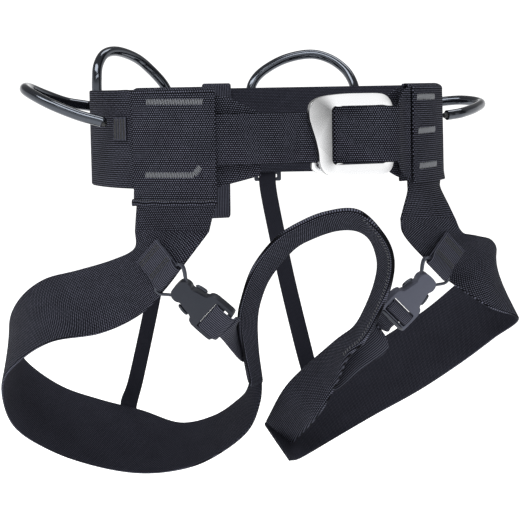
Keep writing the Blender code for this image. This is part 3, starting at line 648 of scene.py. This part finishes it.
def hem_fold(name, band, span, z):
    """The panel's lower edge folded out and sewn: a soft ridge with a row of stitches above."""
    rows = []
    for k in range(HEM_ROWS):
        t = k / (HEM_ROWS - 1)
        phi = span[0] + (span[1] - span[0]) * t
        base, normal = band.at(*on_panel(band, phi, z), BELT_T / 2)
        wave = 0.25 * math.sin(9.0 * t * math.pi) + 0.15 * math.sin(23.0 * t)
        rows.append([base + normal * lift + np.array((0, 0, up + wave))
                     for up, lift in ((HEM_HEIGHT / 2, 0.1), (HEM_HEIGHT / 4, 1.0),
                                      (-HEM_HEIGHT / 4, 1.2), (-HEM_HEIGHT / 2, 0.2))])
    fold = Band(rows, 1.0, 2, 8, centre=(0, 0, 0))
    place(band_object(name, fold, WEB), "belt", "webbing")
    line = [(fold.lengths[-1] * e, 0.28) for e in (0.02, 0.98)]
    place(threads(name + "_threads", stitch_line(fold, line, 2.6), 0.34, THREAD_DARK), "belt", "webbing")


hem_fold("right_panel_hem", right_panel, (206.3, 232.3), PANEL_HEM + 2.4)


# ---- risers and leg loops
def leg_rows(edges):
    return [across(a, b, WIDE_COLUMNS) for a, b in edges]


RISER_BEND = 0.55                     # share of the way down at which a riser turns to its loop
RISER_BLEND_Z = (-0.047, -0.068)      # heights given as the riser's blend ends


def riser(side, span, first, flip=False):
    """Webbing from under the hip panel down to the leg loop's first row."""
    rows = [panel_row(span, z, LAYER) for z in (24.0, 0.0, -20.0, -38.5, -46.0)]
    if flip:
        rows = [row[::-1] for row in rows]
    target = across(first[0], first[1], WIDE_COLUMNS)
    rows.append([np.array(p) * (1 - RISER_BEND) + np.array(q) * RISER_BEND
                 for p, q in zip(rows[-1], target)])
    rows.append(target)
    band = Band(rows, BELT_T, 6, 12, centre=(0, 0, 0))
    obj = band_object(side + "_riser_webbing", band, WEB, WEB_IN, turned=True)
    y = (first[0][1] + first[1][1]) / 2 * MM
    place_blend(obj, RISER_BLEND, [(0, y, z) for z in RISER_BLEND_Z], "webbing", side + "_riser")


riser("right", PANEL_RIGHT, RIGHT_LEG[0])
riser("left", PANEL_LEFT, LEFT_LEG[0], flip=True)
right_leg = Band(leg_rows(RIGHT_LEG), BELT_T, 8, 12, centre=(-95, 10, -180), width=WEB_W)
left_leg = Band(leg_rows(LEFT_LEG), BELT_T, 8, 12, centre=(95, -20, -180), width=WEB_W)
place(band_object("right_leg_webbing", right_leg, WEB, WEB_IN), "leg_loops", "webbing", "right_leg_loop")
place(band_object("left_leg_webbing", left_leg, WEB, WEB_IN), "leg_loops", "webbing", "left_leg_loop")

# ---- crotch loop
# The crotch loop starts with one more row, gathered into the right leg loop's end
GATHER = ((-0.9, 7.4, -204.8), (-8.2, 16.4, -203.3))
arch = Band([across(a, b) for a, b in [GATHER] + ARCH], ARCH_T, 8, 8, centre=(10, -40, -150))
place(band_object("crotch_webbing", arch, WEB), "leg_loops", "webbing", "crotch_loop")
edge_from, edge_to = arch.near((36, -125, -57))[0], arch.near((42, -75, -178))[0]
slants = []
for s in np.arange(edge_from, edge_to, 2.9):
    low, normal = arch.at(s, 0.80, -ARCH_T / 2)
    high, _ = arch.at(s + 1.3, 0.93, -ARCH_T / 2)
    slants.append((low, high, -normal))
place(threads("crotch_edge_threads", slants, 0.4, THREAD_MID), "leg_loops", "webbing")
CROTCH_TACK = bartack(arch, (11.0, 0.04), (11.0, 0.96), 14.0, 0.9, -1)
place(threads("crotch_end_threads", CROTCH_TACK, 0.45, THREAD_DARK), "leg_loops", "webbing")


# ---- waist strap
def strap_row(x, y, height, mid):
    return [(x, y, mid + height / 2 * s) for s in (1.0, 0.0, -1.0)]


def along_belt(x, off, height, mid):
    phi = math.degrees(math.atan2(-1.0, x / STRAP_DEPTH)) % 360
    return strap_row(*ring(phi, off), height, mid)


STRAP_IN = REAR_Y + REAR_T / 2 + GAP + STRAP_T / 2
STRAP_OUT = REAR_Y - REAR_T / 2 - GAP - STRAP_T / 2


def hairpin(x_edge, side, height, mid):
    """Rows of the turn round one of the rear plate's bars, from its inner face to its outer one."""
    cy, ry = (STRAP_IN + STRAP_OUT) / 2, (STRAP_IN - STRAP_OUT) / 2
    turns = [math.pi * k / 8 for k in range(1, 8)]
    return [strap_row(x_edge + side * (ry - STRAP_T * 0.4) * math.sin(a), cy + ry * math.cos(a), height, mid)
            for a in turns]


strap_rows = [along_belt(x, LAYER, STRAP_H, STRAP_MID) for x in (-77.0, -62.0, -46.0)]
strap_rows += [strap_row(x, y, STRAP_H, STRAP_MID)
               for x, y in ((-30.0, -111.6), (-16.0, STRAP_IN), (REAR_BAR_L[1] - 3.0, STRAP_IN),
                            (REAR_BAR_L[1] - 0.6, STRAP_IN))]
strap_rows += hairpin(REAR_BAR_L[1] + 0.6, 1, STRAP_H, STRAP_MID)
strap_rows += [strap_row(x, y, STRAP_H, STRAP_MID)
               for x, y in ((REAR_BAR_L[1] - 0.6, STRAP_OUT), (REAR_BAR_L[1] - 3.0, STRAP_OUT),
                            (-16.0, STRAP_OUT), (-30.0, -115.0))]
strap_rows += [along_belt(x, 2 * LAYER, STRAP_H, STRAP_MID) for x in (-46.0, -62.0, -76.0, -88.0)]
waist_strap = Band(strap_rows, STRAP_T, 4, 10)
place(band_object("waist_strap_webbing", waist_strap, STRAP), "belt", "strap_webbing", "waist_strap")

OVER = PLATE_Y - PLATE_T / 2 - BAR_ROOM - STRAP_T / 2
BEHIND = [(38.0, -109.2), (28.0, STRAP_IN), (REAR_BAR_R[0] + 3.0, STRAP_IN),
          (REAR_BAR_R[0] + 0.6, STRAP_IN)]
IN_FRONT = [(REAR_BAR_R[0] + 0.6, STRAP_OUT), (REAR_BAR_R[0] + 3.0, STRAP_OUT), (28.0, -117.0),
            (38.0, -119.4), (47.0, OVER + 2.0), (53.0, OVER + 0.2), (57.5, OVER)]
FLARE = [(61.0, OVER + 0.6, 42.0), (64.0, OVER + 2.4, 46.0), (67.5, -118.4, 54.0),
         (73.5, -112.6, 66.0), (79.5, -110.4, 72.0)]
fixed = [along_belt(x, -LAYER, h, FIXED_MID)
         for x, h in ((79.0, 70.0), (74.0, 67.0), (66.0, 60.0), (57.0, 49.0), (49.0, FIXED_H))]
fixed += [strap_row(x, y, FIXED_H, FIXED_MID) for x, y in BEHIND]
fixed += hairpin(REAR_BAR_R[0] - 0.6, -1, FIXED_H, FIXED_MID)
fixed += [strap_row(x, y, FIXED_H, FIXED_MID) for x, y in IN_FRONT]
fixed += [strap_row(x, y, h, FIXED_MID) for x, y, h in FLARE]
buckle_web = Band(fixed, STRAP_T, 4, 10)
place(band_object("buckle_anchor_webbing", buckle_web, WEB), "belt", "webbing", "buckle_webbing")


# ---- plates
def rounded(x0, x1, z0, z1, r, count=8):
    out = []
    corners = ((x1 - r, z1 - r, 0), (x0 + r, z1 - r, 90), (x0 + r, z0 + r, 180), (x1 - r, z0 + r, 270))
    for cx, cz, start in corners:
        for k in range(count + 1):
            a = math.radians(start + 90 * k / count)
            out.append((cx + r * math.cos(a), cz + r * math.sin(a)))
    return out


def smooth_outline(outline, steps):
    pts = np.array(outline, float)
    padded = np.vstack([pts[-2:], pts, pts[:3]])
    return spline_at(padded, np.linspace(2, 2 + len(pts), len(pts) * steps + 1))[:-1]


def plate_object(name, outline, holes, thickness, frame_of, mats, bevel, segments=3, rise=None):
    """A plate with rounded rims; rims and side walls take the next materials. rise(a) bends it."""
    origin, u, v, n = (np.array(q, float) for q in frame_of)
    work = bmesh.new()
    edges = []
    for loop in [outline] + holes:
        verts = [work.verts.new((float(p[0]), float(p[1]), 0.0)) for p in loop]
        edges += [work.edges.new((verts[i], verts[(i + 1) % len(verts)])) for i in range(len(verts))]
    bmesh.ops.triangle_fill(work, use_beauty=True, use_dissolve=False, edges=edges)
    bmesh.ops.recalc_face_normals(work, faces=work.faces)
    made = bmesh.ops.extrude_face_region(work, geom=work.faces[:])
    top = [g for g in made["geom"] if isinstance(g, bmesh.types.BMVert)]
    for vert in work.verts:
        vert.co.z = -thickness / 2
    for vert in top:
        vert.co.z = thickness / 2
    bmesh.ops.recalc_face_normals(work, faces=work.faces)
    rims = [e for e in work.edges if len(e.link_faces) == 2 and e.calc_face_angle(0) > 1.2
            and abs(e.verts[0].co.z - e.verts[1].co.z) < 1e-6]
    bmesh.ops.bevel(work, geom=rims, offset=bevel, segments=segments, affect="EDGES", profile=0.5,
                    clamp_overlap=True)
    # Flat faces take the first material, rims the second and steep side walls the third; on the metal plates
    # the third is painted shade.
    if len(mats) > 1:
        for face in work.faces:
            face.normal_update()
            slope = abs(face.normal.z)
            face.material_index = 0 if slope > 0.985 else 1 if slope > 0.7 or len(mats) < 3 else 2
    for vert in work.verts:
        a, b, c = vert.co
        if rise:
            c += rise(a)
        vert.co = Vector(origin + u * a + v * b + n * c) * MM
    return solid_object(name, new_mesh(name, mats), work, 35)


PLATE_OUTLINE = [
    (60.0, 12.0), (59.5, 20.0), (57.0, 26.5), (52.5, 30.5), (46.0, 31.8), (34.0, 32.0), (18.0, 31.8),
    (4.0, 30.6), (-5.0, 28.4), (-10.0, 25.0), (-11.6, 20.0), (-11.4, 14.0), (-9.6, 8.0), (-7.4, 2.0),
    (-5.2, -5.0), (-3.6, -12.0), (-2.8, -19.0), (-0.4, -25.2), (4.6, -29.2), (13.0, -30.8), (26.0, -31.4),
    (40.0, -31.6), (50.0, -31.2), (55.5, -28.6), (59.0, -23.0), (60.0, -14.0), (60.0, 0.0)]
FLAT = ((1, 0, 0), (0, 0, 1), (0, -1, 0))
METALS = [SATIN, POLISHED, SHADED_EDGE_METAL]


def thumb_bend(a):
    """The front plate's left bar stands a little forward at its free edge."""
    return 2.4 * max(0.0, (9.0 - a) / 20.0) ** 2


rear_outline = rounded(REAR_BAR_L[0], REAR_BAR_R[1], -27.5, 27.5, 5.0, 6)
rear_outline[7:14] = [(REAR_BAR_L[0] + 12.0, 27.5), (REAR_BAR_L[0] + 7.0, 26.4),
                      (REAR_BAR_L[0] + 2.0, 23.0), (REAR_BAR_L[0], 19.0)]
place(plate_object("buckle_front_metal", smooth_outline(PLATE_OUTLINE, 4),
                   [rounded(FRONT_HOLE, 54.0, -21.8, 22.8, 4.0)], PLATE_T, ((0, PLATE_Y, 0), *FLAT),
                   METALS, 1.2, 4, thumb_bend),
      "buckle_plate", "aluminium", "buckle_front_plate")
place(plate_object("buckle_rear_metal", rear_outline,
                   [rounded(REAR_BAR_L[1], REAR_BAR_R[0], -21.8, 22.5, 2.0, 4)], REAR_T,
                   ((0, REAR_Y, 0), *FLAT), METALS, 0.8),
      "belt", "aluminium", "buckle_rear_plate")

# ---- haul loop
BACK_OUT = BELT_BACK + BELT_T / 2 + GAP + HAUL_T / 2
BACK_IN = BELT_BACK - BELT_T / 2 - GAP - HAUL_T / 2 - 0.3
haul = [(BACK_IN, -24.0), (BACK_IN, 0.0), (BACK_IN, 36.5), (BACK_IN + 0.8, 39.8), (BELT_BACK, 41.0)]
haul += [(BACK_OUT + off, z) for off, z in (
    (-0.6, 39.8), (0.2, 36.5), (0.2, 0.0), (0.6, -30.0), (1.0, -55.0), (1.2, -70.0), (1.9, -74.8),
    (3.8, HAUL_LOW), (5.2, HAUL_LOW), (9.6, HAUL_LOW), (11.0, HAUL_LOW), (12.4, -74.4), (12.4, -67.0),
    (10.8, -52.0), (7.6, -38.0), (4.2, -24.0), (2.7, -8.0), (2.7, 6.0))]
haul_band = Band([[(HAUL_W / 2 * s, y, z) for s in (-1.0, 0.0, 1.0)] for y, z in haul], HAUL_T, 4, 8)
place(band_object("haul_loop_webbing", haul_band, RIBBED), "belt", "strap_webbing", "haul_loop")

# ---- gear loops
# Each loop: the tube's route, then its two tabs as angle on the belt, middle's height, width, height
GEAR = {
    "right_front": (
        [(-143.8, -36, 13), (-148.5, -35.5, 14), (-164, -29, 19), (-183, -18, 28), (-195, 4, 38),
         (-188, 28, 40.5), (-171, 43, 35), (-151, 52, 28.5), (-134, 55.5, 25.5), (-127.2, 59, 24.5)],
        [(199.7, 8.0, 15.0, 18.0), (158.6, 25.0, 12.0, 16.0)]),
    "left_front": (
        [(155, -31.5, 11.8), (160, -31, 12.2), (171, -29, 13.6), (190, -17, 17), (207, 4, 21),
         (200, 28, 23.5), (175, 43, 21), (151, 41, 18), (140.5, 39, 17)],
        [(344.0, 9.0, 14.0, 18.0), (15.5, 17.0, 12.0, 16.0)]),
    "right_rear": (
        [(-120.5, 66.6, 17), (-120, 66.7, 33), (-119.5, 67.7, 46), (-116.7, 72, 58.5), (-108.3, 79.3, 68),
         (-93.6, 89.6, 70), (-74.2, 101.2, 64.6), (-59.8, 107.2, 55), (-46.5, 109.1, 41),
         (-42, 107.6, 28), (-41.9, 107.3, 15)],
        [(152.0, 12.0, 12.0, 16.0), (111.9, 12.0, 12.0, 16.0)]),
    "left_rear": (
        [(33.4, 109.2, 13), (34, 109.2, 29), (36.7, 110.3, 41), (47.8, 112.2, 52), (68.4, 111.5, 62.4),
         (90.8, 106.2, 66.6), (106.4, 98.3, 62.4), (117, 87.5, 52), (120.5, 77.2, 39),
         (118.4, 70.3, 27), (117.8, 69.4, 12)],
        [(72.2, 10.0, 12.0, 16.0), (29.5, 9.0, 12.0, 16.0)]),
}
CORD_R = 2.5


def clear_ring(route, lift):
    """The route with every point at least lift outside the belt's middle line."""
    out = []
    for x, y, z in route:
        rx, ry = ring(math.degrees(math.atan2(y, x)) % 360, lift)
        if math.hypot(x, y) < math.hypot(rx, ry):
            x, y = rx, ry
        out.append((x, y, z))
    return out


for key, (line, _) in GEAR.items():
    body, node = key + "_loop", key + "_gear_loop"
    route = clear_ring(line, BELT_T / 2 + TUBE_R + 2.6)
    place(tube_object(node + "_tube", route, TUBE_R, TUBE, steps=10, sides=24), body, "tube", node)
    for tag, first, second in (("a", route[0], route[1]), ("b", route[-1], route[-2])):
        out = unit(np.array(first, float) - np.array(second, float))
        stub = [np.array(first, float) + out * d for d in (-2.0, 1.0, 3.6)]
        place(tube_object(f"{node}_cord_{tag}", stub, CORD_R, THREAD_DARK, steps=4, sides=14,
                          ends=(0.5, 0.85, 1.0)), body, "tube")


def gear_tab(name, phi, z, width, height):
    span = math.degrees(width / math.hypot(*ring(phi))) / 2
    off = BELT_T / 2 + GAP + TAB_T / 2
    rows = [[(*ring(phi + span * s, off), z + height * h) for s in (-1.0, -0.33, 0.33, 1.0)]
            for h in (0.5, 0.0, -0.5)]
    band = Band(rows, TAB_T, 8, 8, centre=(0, 0, z))
    place(band_object(name + "_webbing", band, RIBBED), "belt", "strap_webbing", name)
    length = band.lengths[-1]
    runs = []
    for share in (0.18, 0.42, 0.66, 0.88):
        runs += bartack(band, (length * 0.08, share), (length * 0.92, share), width * 0.16, 1.0)
    place(threads(name + "_threads", runs, 0.5, THREAD_DARK), "belt", "strap_webbing")


for key, (_, tabs) in GEAR.items():
    for tag, spec in zip("ab", tabs):
        gear_tab(f"{key}_gear_tab_{tag}", *spec)


# ---- rear risers
def riser_rows(points, width):
    return [[np.array(at) + unit(over) * width / 2 * s for s in (-1.0, 0.0, 1.0)] for at, over in points]


RIGHT_BACK_RISER = [
    ((-42.0, 102.6, -22.0), (-0.95, -0.3, 0)), ((-42.0, 102.6, -38.0), (-0.95, -0.3, 0)),
    ((-44.5, 104.5, -60.0), (-0.96, -0.26, 0)), ((-58.0, 115.0, -140.0), (-0.97, -0.2, 0)),
    ((-72.0, 128.0, -215.0), (-0.97, -0.1, 0)), ((-76.5, 135.6, -237.0), (-0.95, 0.2, 0.2)),
    ((-77.6, 137.6, -244.0), (-0.92, 0.29, 0.29)), ((-78.0, 136.0, -249.4), (-0.92, 0.29, 0.29)),
    ((-79.0, 130.0, -254.0), (-0.92, 0.29, 0.29))]
LEFT_BACK_RISER = [
    ((46.0, 101.7, -22.0), (-0.94, 0.34, 0)), ((46.0, 101.7, -38.0), (-0.94, 0.34, 0)),
    ((47.5, 101.0, -60.0), (-0.95, 0.3, 0)), ((58.0, 91.0, -130.0), (-0.97, 0.25, 0)),
    ((69.0, 82.5, -190.0), (-0.97, 0.2, -0.2)), ((75.4, 79.6, -219.0), (-0.86, 0.15, -0.48)),
    ((76.2, 79.2, -226.0), (-0.85, 0.15, -0.51)), ((76.6, 76.6, -230.6), (-0.85, 0.15, -0.51)),
    ((77.0, 70.4, -234.6), (-0.85, 0.15, -0.51))]
for side, points in (("right", RIGHT_BACK_RISER), ("left", LEFT_BACK_RISER)):
    band = Band(riser_rows(points, RISER_W), RISER_T, 8, 6, centre=(0, 0, 0))
    x, y, z = (c * MM for c in points[4][0])
    place_blend(band_object(side + "_back_riser_tape", band, TAPE), RISER_BLEND,
                ((x, y, -0.06), (x, y, z)), "tape", side + "_back_riser")


def riser_keeper(side, at, side_dir):
    """A small glide with two slots on the rear riser's back, its long side along side_dir."""
    ux, uy = side_dir
    n = np.array((uy, -ux, 0.0))
    if n[1] < 0:
        n = -n
    origin = np.array(at) + n * (RISER_T / 2 + GAP + 1.4)
    obj = plate_object(side + "_keeper_plastic", rounded(-12.0, 12.0, -4.5, 4.5, 1.6, 4),
                       [rounded(-8.4, -1.2, -1.5, 1.5, 0.6, 3), rounded(1.2, 8.4, -1.5, 1.5, 0.6, 3)],
                       2.2, (origin, (ux, uy, 0), (0, 0, 1), n), [PLASTIC_DARK], 0.5)
    place(obj, "belt", "ring_plastic", side + "_back_keeper")


riser_keeper("right", (-43.0, 103.4, -41.0), (-0.955, -0.296))
riser_keeper("left", (46.4, 101.6, -41.0), (-0.946, 0.324))

# ---- tabs, rings and clips
BAR_AT = (2.6, 3.7)
TAB_PATH = [
    (-24.0, 1.0), (-12.0, 1.0), (-1.0, 1.0), (3.0, 1.2), (5.4, 2.2), (6.2, 3.9), (5.0, 5.6), (2.6, 6.2),
    (-0.6, 5.4), (-3.6, 3.8), (-7.0, 3.2), (-14.0, 3.2), (-24.0, 3.2)]
RING_PATH = [
    (2.6, -13.6), (4.4, -15.2), (8.0, -14.6), (13.0, -10.4), (18.0, -6.6), (19.8, -3.0), (19.8, 3.0),
    (18.0, 6.6), (13.0, 10.4), (8.0, 14.6), (4.4, 15.2), (2.6, 13.6), (2.6, 7.0), (2.6, 0.0), (2.6, -7.0)]
BODY_OUTLINE = [
    (12.0, 0.0), (12.5, 5.0), (14.6, 8.0), (18.0, 9.2), (20.8, 8.8), (22.4, 7.9), (24.4, 7.8), (28.5, 8.9),
    (33.4, 10.0), (35.8, 11.2), (36.8, 13.4), (39.6, 15.0), (43.4, 15.5), (56.6, 15.6), (59.2, 14.0),
    (60.0, 9.0), (60.2, 0.0)]
SLOT_A = (44.0, 47.8)
SLOT_B = (51.6, 56.2)
SLOT_W = 12.9
ARM_PATH = [(23.6, 11.0), (28.5, 12.5), (33.6, 12.9)]
ARM_R = 1.4
# Straps: (along, out from the clip's middle plane)
OVER_THE_END = [
    (53.0, -5.7), (48.4, -5.6), (46.0, -4.4), (45.2, 0.0), (46.0, 4.3), (49.6, 5.4), (55.0, 5.4), (59.4, 5.0),
    (61.8, 3.0), (62.4, 0.0), (62.8, -2.6), (65.4, -4.4)]
UNDER_THE_END = [
    (54.4, -7.6), (49.4, -7.4), (46.0, -5.4), (45.3, 0.0), (46.3, 4.5), (49.7, 5.4), (53.8, 4.5), (54.6, 0.0),
    (55.4, -4.7), (58.8, -5.8), (63.4, -6.4), (68.4, -7.2)]
CLIPS = {
    "right": {"bar": (-113.5, -82.7, -103.6), "v": (0.434, -0.579, 0.690),
              "tab_u": (0.414, -0.552, -0.724), "clip_u": (0.684, -0.283, -0.668),
              "path": OVER_THE_END, "strap": [((-46, -49, -150), (-29, -22, -186))]},
    "left": {"bar": (112.8, -93.9, -108.7), "v": (0.735, 0.193, -0.65),
             "tab_u": (-0.640, -0.060, -0.766), "clip_u": (-0.678, 0.209, -0.705),
             "path": UNDER_THE_END,
             "strap": [((59, -75, -153), (73, -83, -171)), ((49, -52, -172), (56, -68, -190)),
                       ((40, -34, -188), (46, -49, -208))]},
}


def clip_frame(spec, which):
    v = unit(spec["v"])
    u = np.array(spec[which], float)
    u = unit(u - v * np.dot(u, v))
    n = np.cross(u, v)
    if n[1] > 0:
        n = -n
    at = np.array(spec["bar"], float) - u * BAR_AT[0] - n * BAR_AT[1]
    return at, u, v, n


def local(axes, a, b, c):
    at, u, v, n = axes
    return at + u * a + v * b + n * c


def clip(side, spec):
    axes, tab_axes = clip_frame(spec, "clip_u"), clip_frame(spec, "tab_u")
    tab_rows = [[local(tab_axes, a, TAB_W / 2 * s, c) for s in (-1.0, 0.0, 1.0)] for a, c in TAB_PATH]
    tab = Band(tab_rows, TAB_T, 6, 8, centre=local(tab_axes, -5, 0, 2.2))
    place(band_object(side + "_tab_webbing", tab, RIBBED), "leg_loops", "strap_webbing", side + "_ring_tab")
    end = tab.lengths[-1]
    tacks = []
    for away in (3.6, 6.0, 16.6, 19.0):
        tacks += bartack(tab, (end - away, 0.03), (end - away, 0.97), 1.6, 1.1)
    place(threads(side + "_tab_threads", tacks, 0.42, THREAD_DARK), "leg_loops", "strap_webbing")
    body_name = side + "_clip"
    ring_line = [local(axes, a, b, BAR_AT[1]) for a, b in RING_PATH]
    place(tube_object(side + "_ring_wire", ring_line, RING_R, PLASTIC_DARK, steps=6, sides=12, closed=True),
          body_name, "ring_plastic", side + "_ring")
    for sign, tag in ((1, "a"), (-1, "b")):
        wire = [local(axes, a, sign * b, BAR_AT[1] - 0.9) for a, b in RING_WIRE]
        place(tube_object(f"{side}_ring_wire_{tag}", wire, 0.75, PLASTIC_DARK, steps=6, sides=10),
              body_name, "ring_plastic")
    half = smooth_outline(BODY_OUTLINE + [(a, -b) for a, b in BODY_OUTLINE[-2:0:-1]], 3)
    holes = [rounded(*slot, -SLOT_W, SLOT_W, 1.0, 4) for slot in (SLOT_A, SLOT_B)]
    head = (local(axes, 0, 0, BAR_AT[1]), *axes[1:])
    place(plate_object(side + "_clip_moulding", half, holes, CLIP_T, head, [CLIP_MATS[side]], 1.8, 4),
          body_name, "clip_plastic", side + "_clip_body")
    for sign, tag in ((1, "a"), (-1, "b")):
        line = [local(axes, a, sign * b, BAR_AT[1]) for a, b in ARM_PATH]
        arm = tube_object(f"{side}_arm_{tag}_lever", line, ARM_R, PLASTIC_GLOSS, steps=6, sides=14,
                          ends=(0.35, 0.8, 1.0))
        place(arm, f"{side}_arm_{tag}", "clip_plastic", f"{side}_clip_arm_{tag}")
    if spec["path"] is UNDER_THE_END:
        bar = [local(axes, 58.6, b, BAR_AT[1] + CLIP_T / 2 - 0.2) for b in (-14.0, -7.0, 0.0, 7.0, 14.0)]
        place(tube_object(side + "_ladder_bar", bar, 1.7, PLASTIC_GLOSS, steps=4, sides=14,
                          ends=(0.35, 0.85, 1.0)), body_name, "clip_plastic")
    leg_strap(side, axes, spec["path"], spec["strap"])


def on_arch(a, b, lift=ARCH_T / 2 + STRAP25_T / 2 + 0.6, inward=0.0):
    """A strap row that lies against the crotch webbing's hidden face, between two places."""
    row = []
    for t in (0.0, 0.5, 1.0):
        length, share = arch.near(np.array(a, float) * (1 - t) + np.array(b, float) * t)
        row.append(arch.at(length, share + inward, lift)[0])
    return row


def leg_strap(side, axes, path, end_rows):
    w = TAB_W / 2 - 0.4
    rows = [[local(axes, a, w * s, BAR_AT[1] + c) for s in (1.0, 0.0, -1.0)] for a, c in path]
    rows += [across(a, b) for a, b in end_rows[:STRAP_FREE[side]]] + STRAP_END[side]
    band = Band(rows, STRAP25_T, 6, 8)
    start = local(axes, 62.0, 0, BAR_AT[1])
    end = np.mean([np.array(p, float) for p in end_rows[0]], axis=0)
    place_blend(band_object(side + "_leg_strap_webbing", band, RIBBED), (side + "_clip", "leg_loops"),
                (tuple(start * MM), tuple(end * MM)), "strap_webbing", side + "_leg_strap")


STRAP_FREE = {"right": 0, "left": 3}
STRAP_END = {"right": [on_arch((-46, -49, -150), (-29, -22, -186), 4.6),
                       on_arch((-44, -49, -149), (-28, -22, -186), inward=-0.45)],
             "left": [on_arch((31, -16, -200), (38, -37, -214))]}
RING_WIRE = [(3.4, 15.4), (6.4, 16.4), (10.4, 14.0), (14.4, 10.0), (17.0, 7.0)]
for side, spec in CLIPS.items():
    clip(side, spec)


# ---- camera, floor and light
CAMERA_AWAY, CAMERA_RIGHT, CAMERA_UP = 1352.0, -3.3, 37.5
SENSOR, FOCAL_WIDTHS = 36.0, 1640.0 / 520.0      # focal length in picture widths


def camera():
    """The camera looks from the wearer's right front, slightly down."""
    turn, pitch, roll = math.radians(22.0), math.radians(6.0), math.radians(1.0)
    ahead = np.array((math.sin(turn), math.cos(turn), 0.0))
    right = np.array((math.cos(turn), -math.sin(turn), 0.0))
    up = np.array((0.0, 0.0, 1.0))
    forward = ahead * math.cos(pitch) - up * math.sin(pitch)
    raised = ahead * math.sin(pitch) + up * math.cos(pitch)
    x_axis = right * math.cos(roll) - raised * math.sin(roll)
    y_axis = right * math.sin(roll) + raised * math.cos(roll)
    spot = (-ahead * CAMERA_AWAY + right * CAMERA_RIGHT + up * CAMERA_UP) * MM
    data = bpy.data.cameras.new("camera")
    data.sensor_width = SENSOR
    data.lens = FOCAL_WIDTHS * SENSOR
    data.clip_end = 20.0
    obj = add_object("camera", data)
    obj.matrix_world = Matrix([*np.column_stack([x_axis, y_axis, -forward, spot]).tolist(), (0, 0, 0, 1)])
    bpy.context.scene.camera = obj


def area_light(name, spot, target, size, power):
    data = bpy.data.lights.new(name, "AREA")
    data.shape = "RECTANGLE"
    data.size, data.size_y = size
    data.energy = power
    obj = add_object(name, data)
    obj.location = spot
    obj.rotation_euler = (Vector(target) - Vector(spot)).to_track_quat("-Z", "Y").to_euler()


def room_light(g):
    """World brightness by direction: white low down, dimmer high up and at the front's left side."""
    way = g.split(g.coords("Generated"))
    height = g.spread(way[2], 1.2, 0.30, 0.12, 0.45, "SMOOTHSTEP")
    side = g.spread(way[0], 1.0, 0.12, 0.40, 0.74, "SMOOTHSTEP")
    ahead = g.spread(way[1], 0.0, 1.0, -0.35, -0.05, "SMOOTHSTEP")
    g.set(Color=WHITE, Strength=g.math("MULTIPLY", height, g.math("MAXIMUM", side, ahead)))


WHITE = (1.0, 1.0, 1.0, 1.0)
FLOOR_Z = -0.38


def studio():
    """Pale floor, white surroundings and soft light from above."""
    mat = bpy.data.materials.new("pale_floor")
    Graph(mat).set(Base_Color=(0.8, 0.8, 0.8, 1.0), Roughness=0.9, Emission_Color=WHITE,
                   Emission_Strength=0.85)
    mesh = new_mesh("floor", [mat])
    mesh.from_pydata([(-9, -1.6, 0), (9, -1.6, 0), (9, 16, 0), (-9, 16, 0)], [], [(0, 1, 2, 3)])
    floor = add_object("floor", mesh)
    floor.location = (0, 0, FLOOR_Z)
    world = bpy.data.worlds.new("studio")
    bpy.context.scene.world = world
    room_light(Graph(world, "Background"))
    area_light("key", (-0.9, -0.9, 1.6), (0, 0, -0.05), (2.2, 0.7), 36.0)
    area_light("strip", (-0.3, -1.5, 1.0), (0, 0, 0), (1.9, 0.16), 5.0)
    area_light("top", (0.5, 0.1, 1.5), (0, 0, 0), (0.5, 1.2), 10.0)


camera()
studio()
bpy.context.scene.view_settings.view_transform = "Standard"
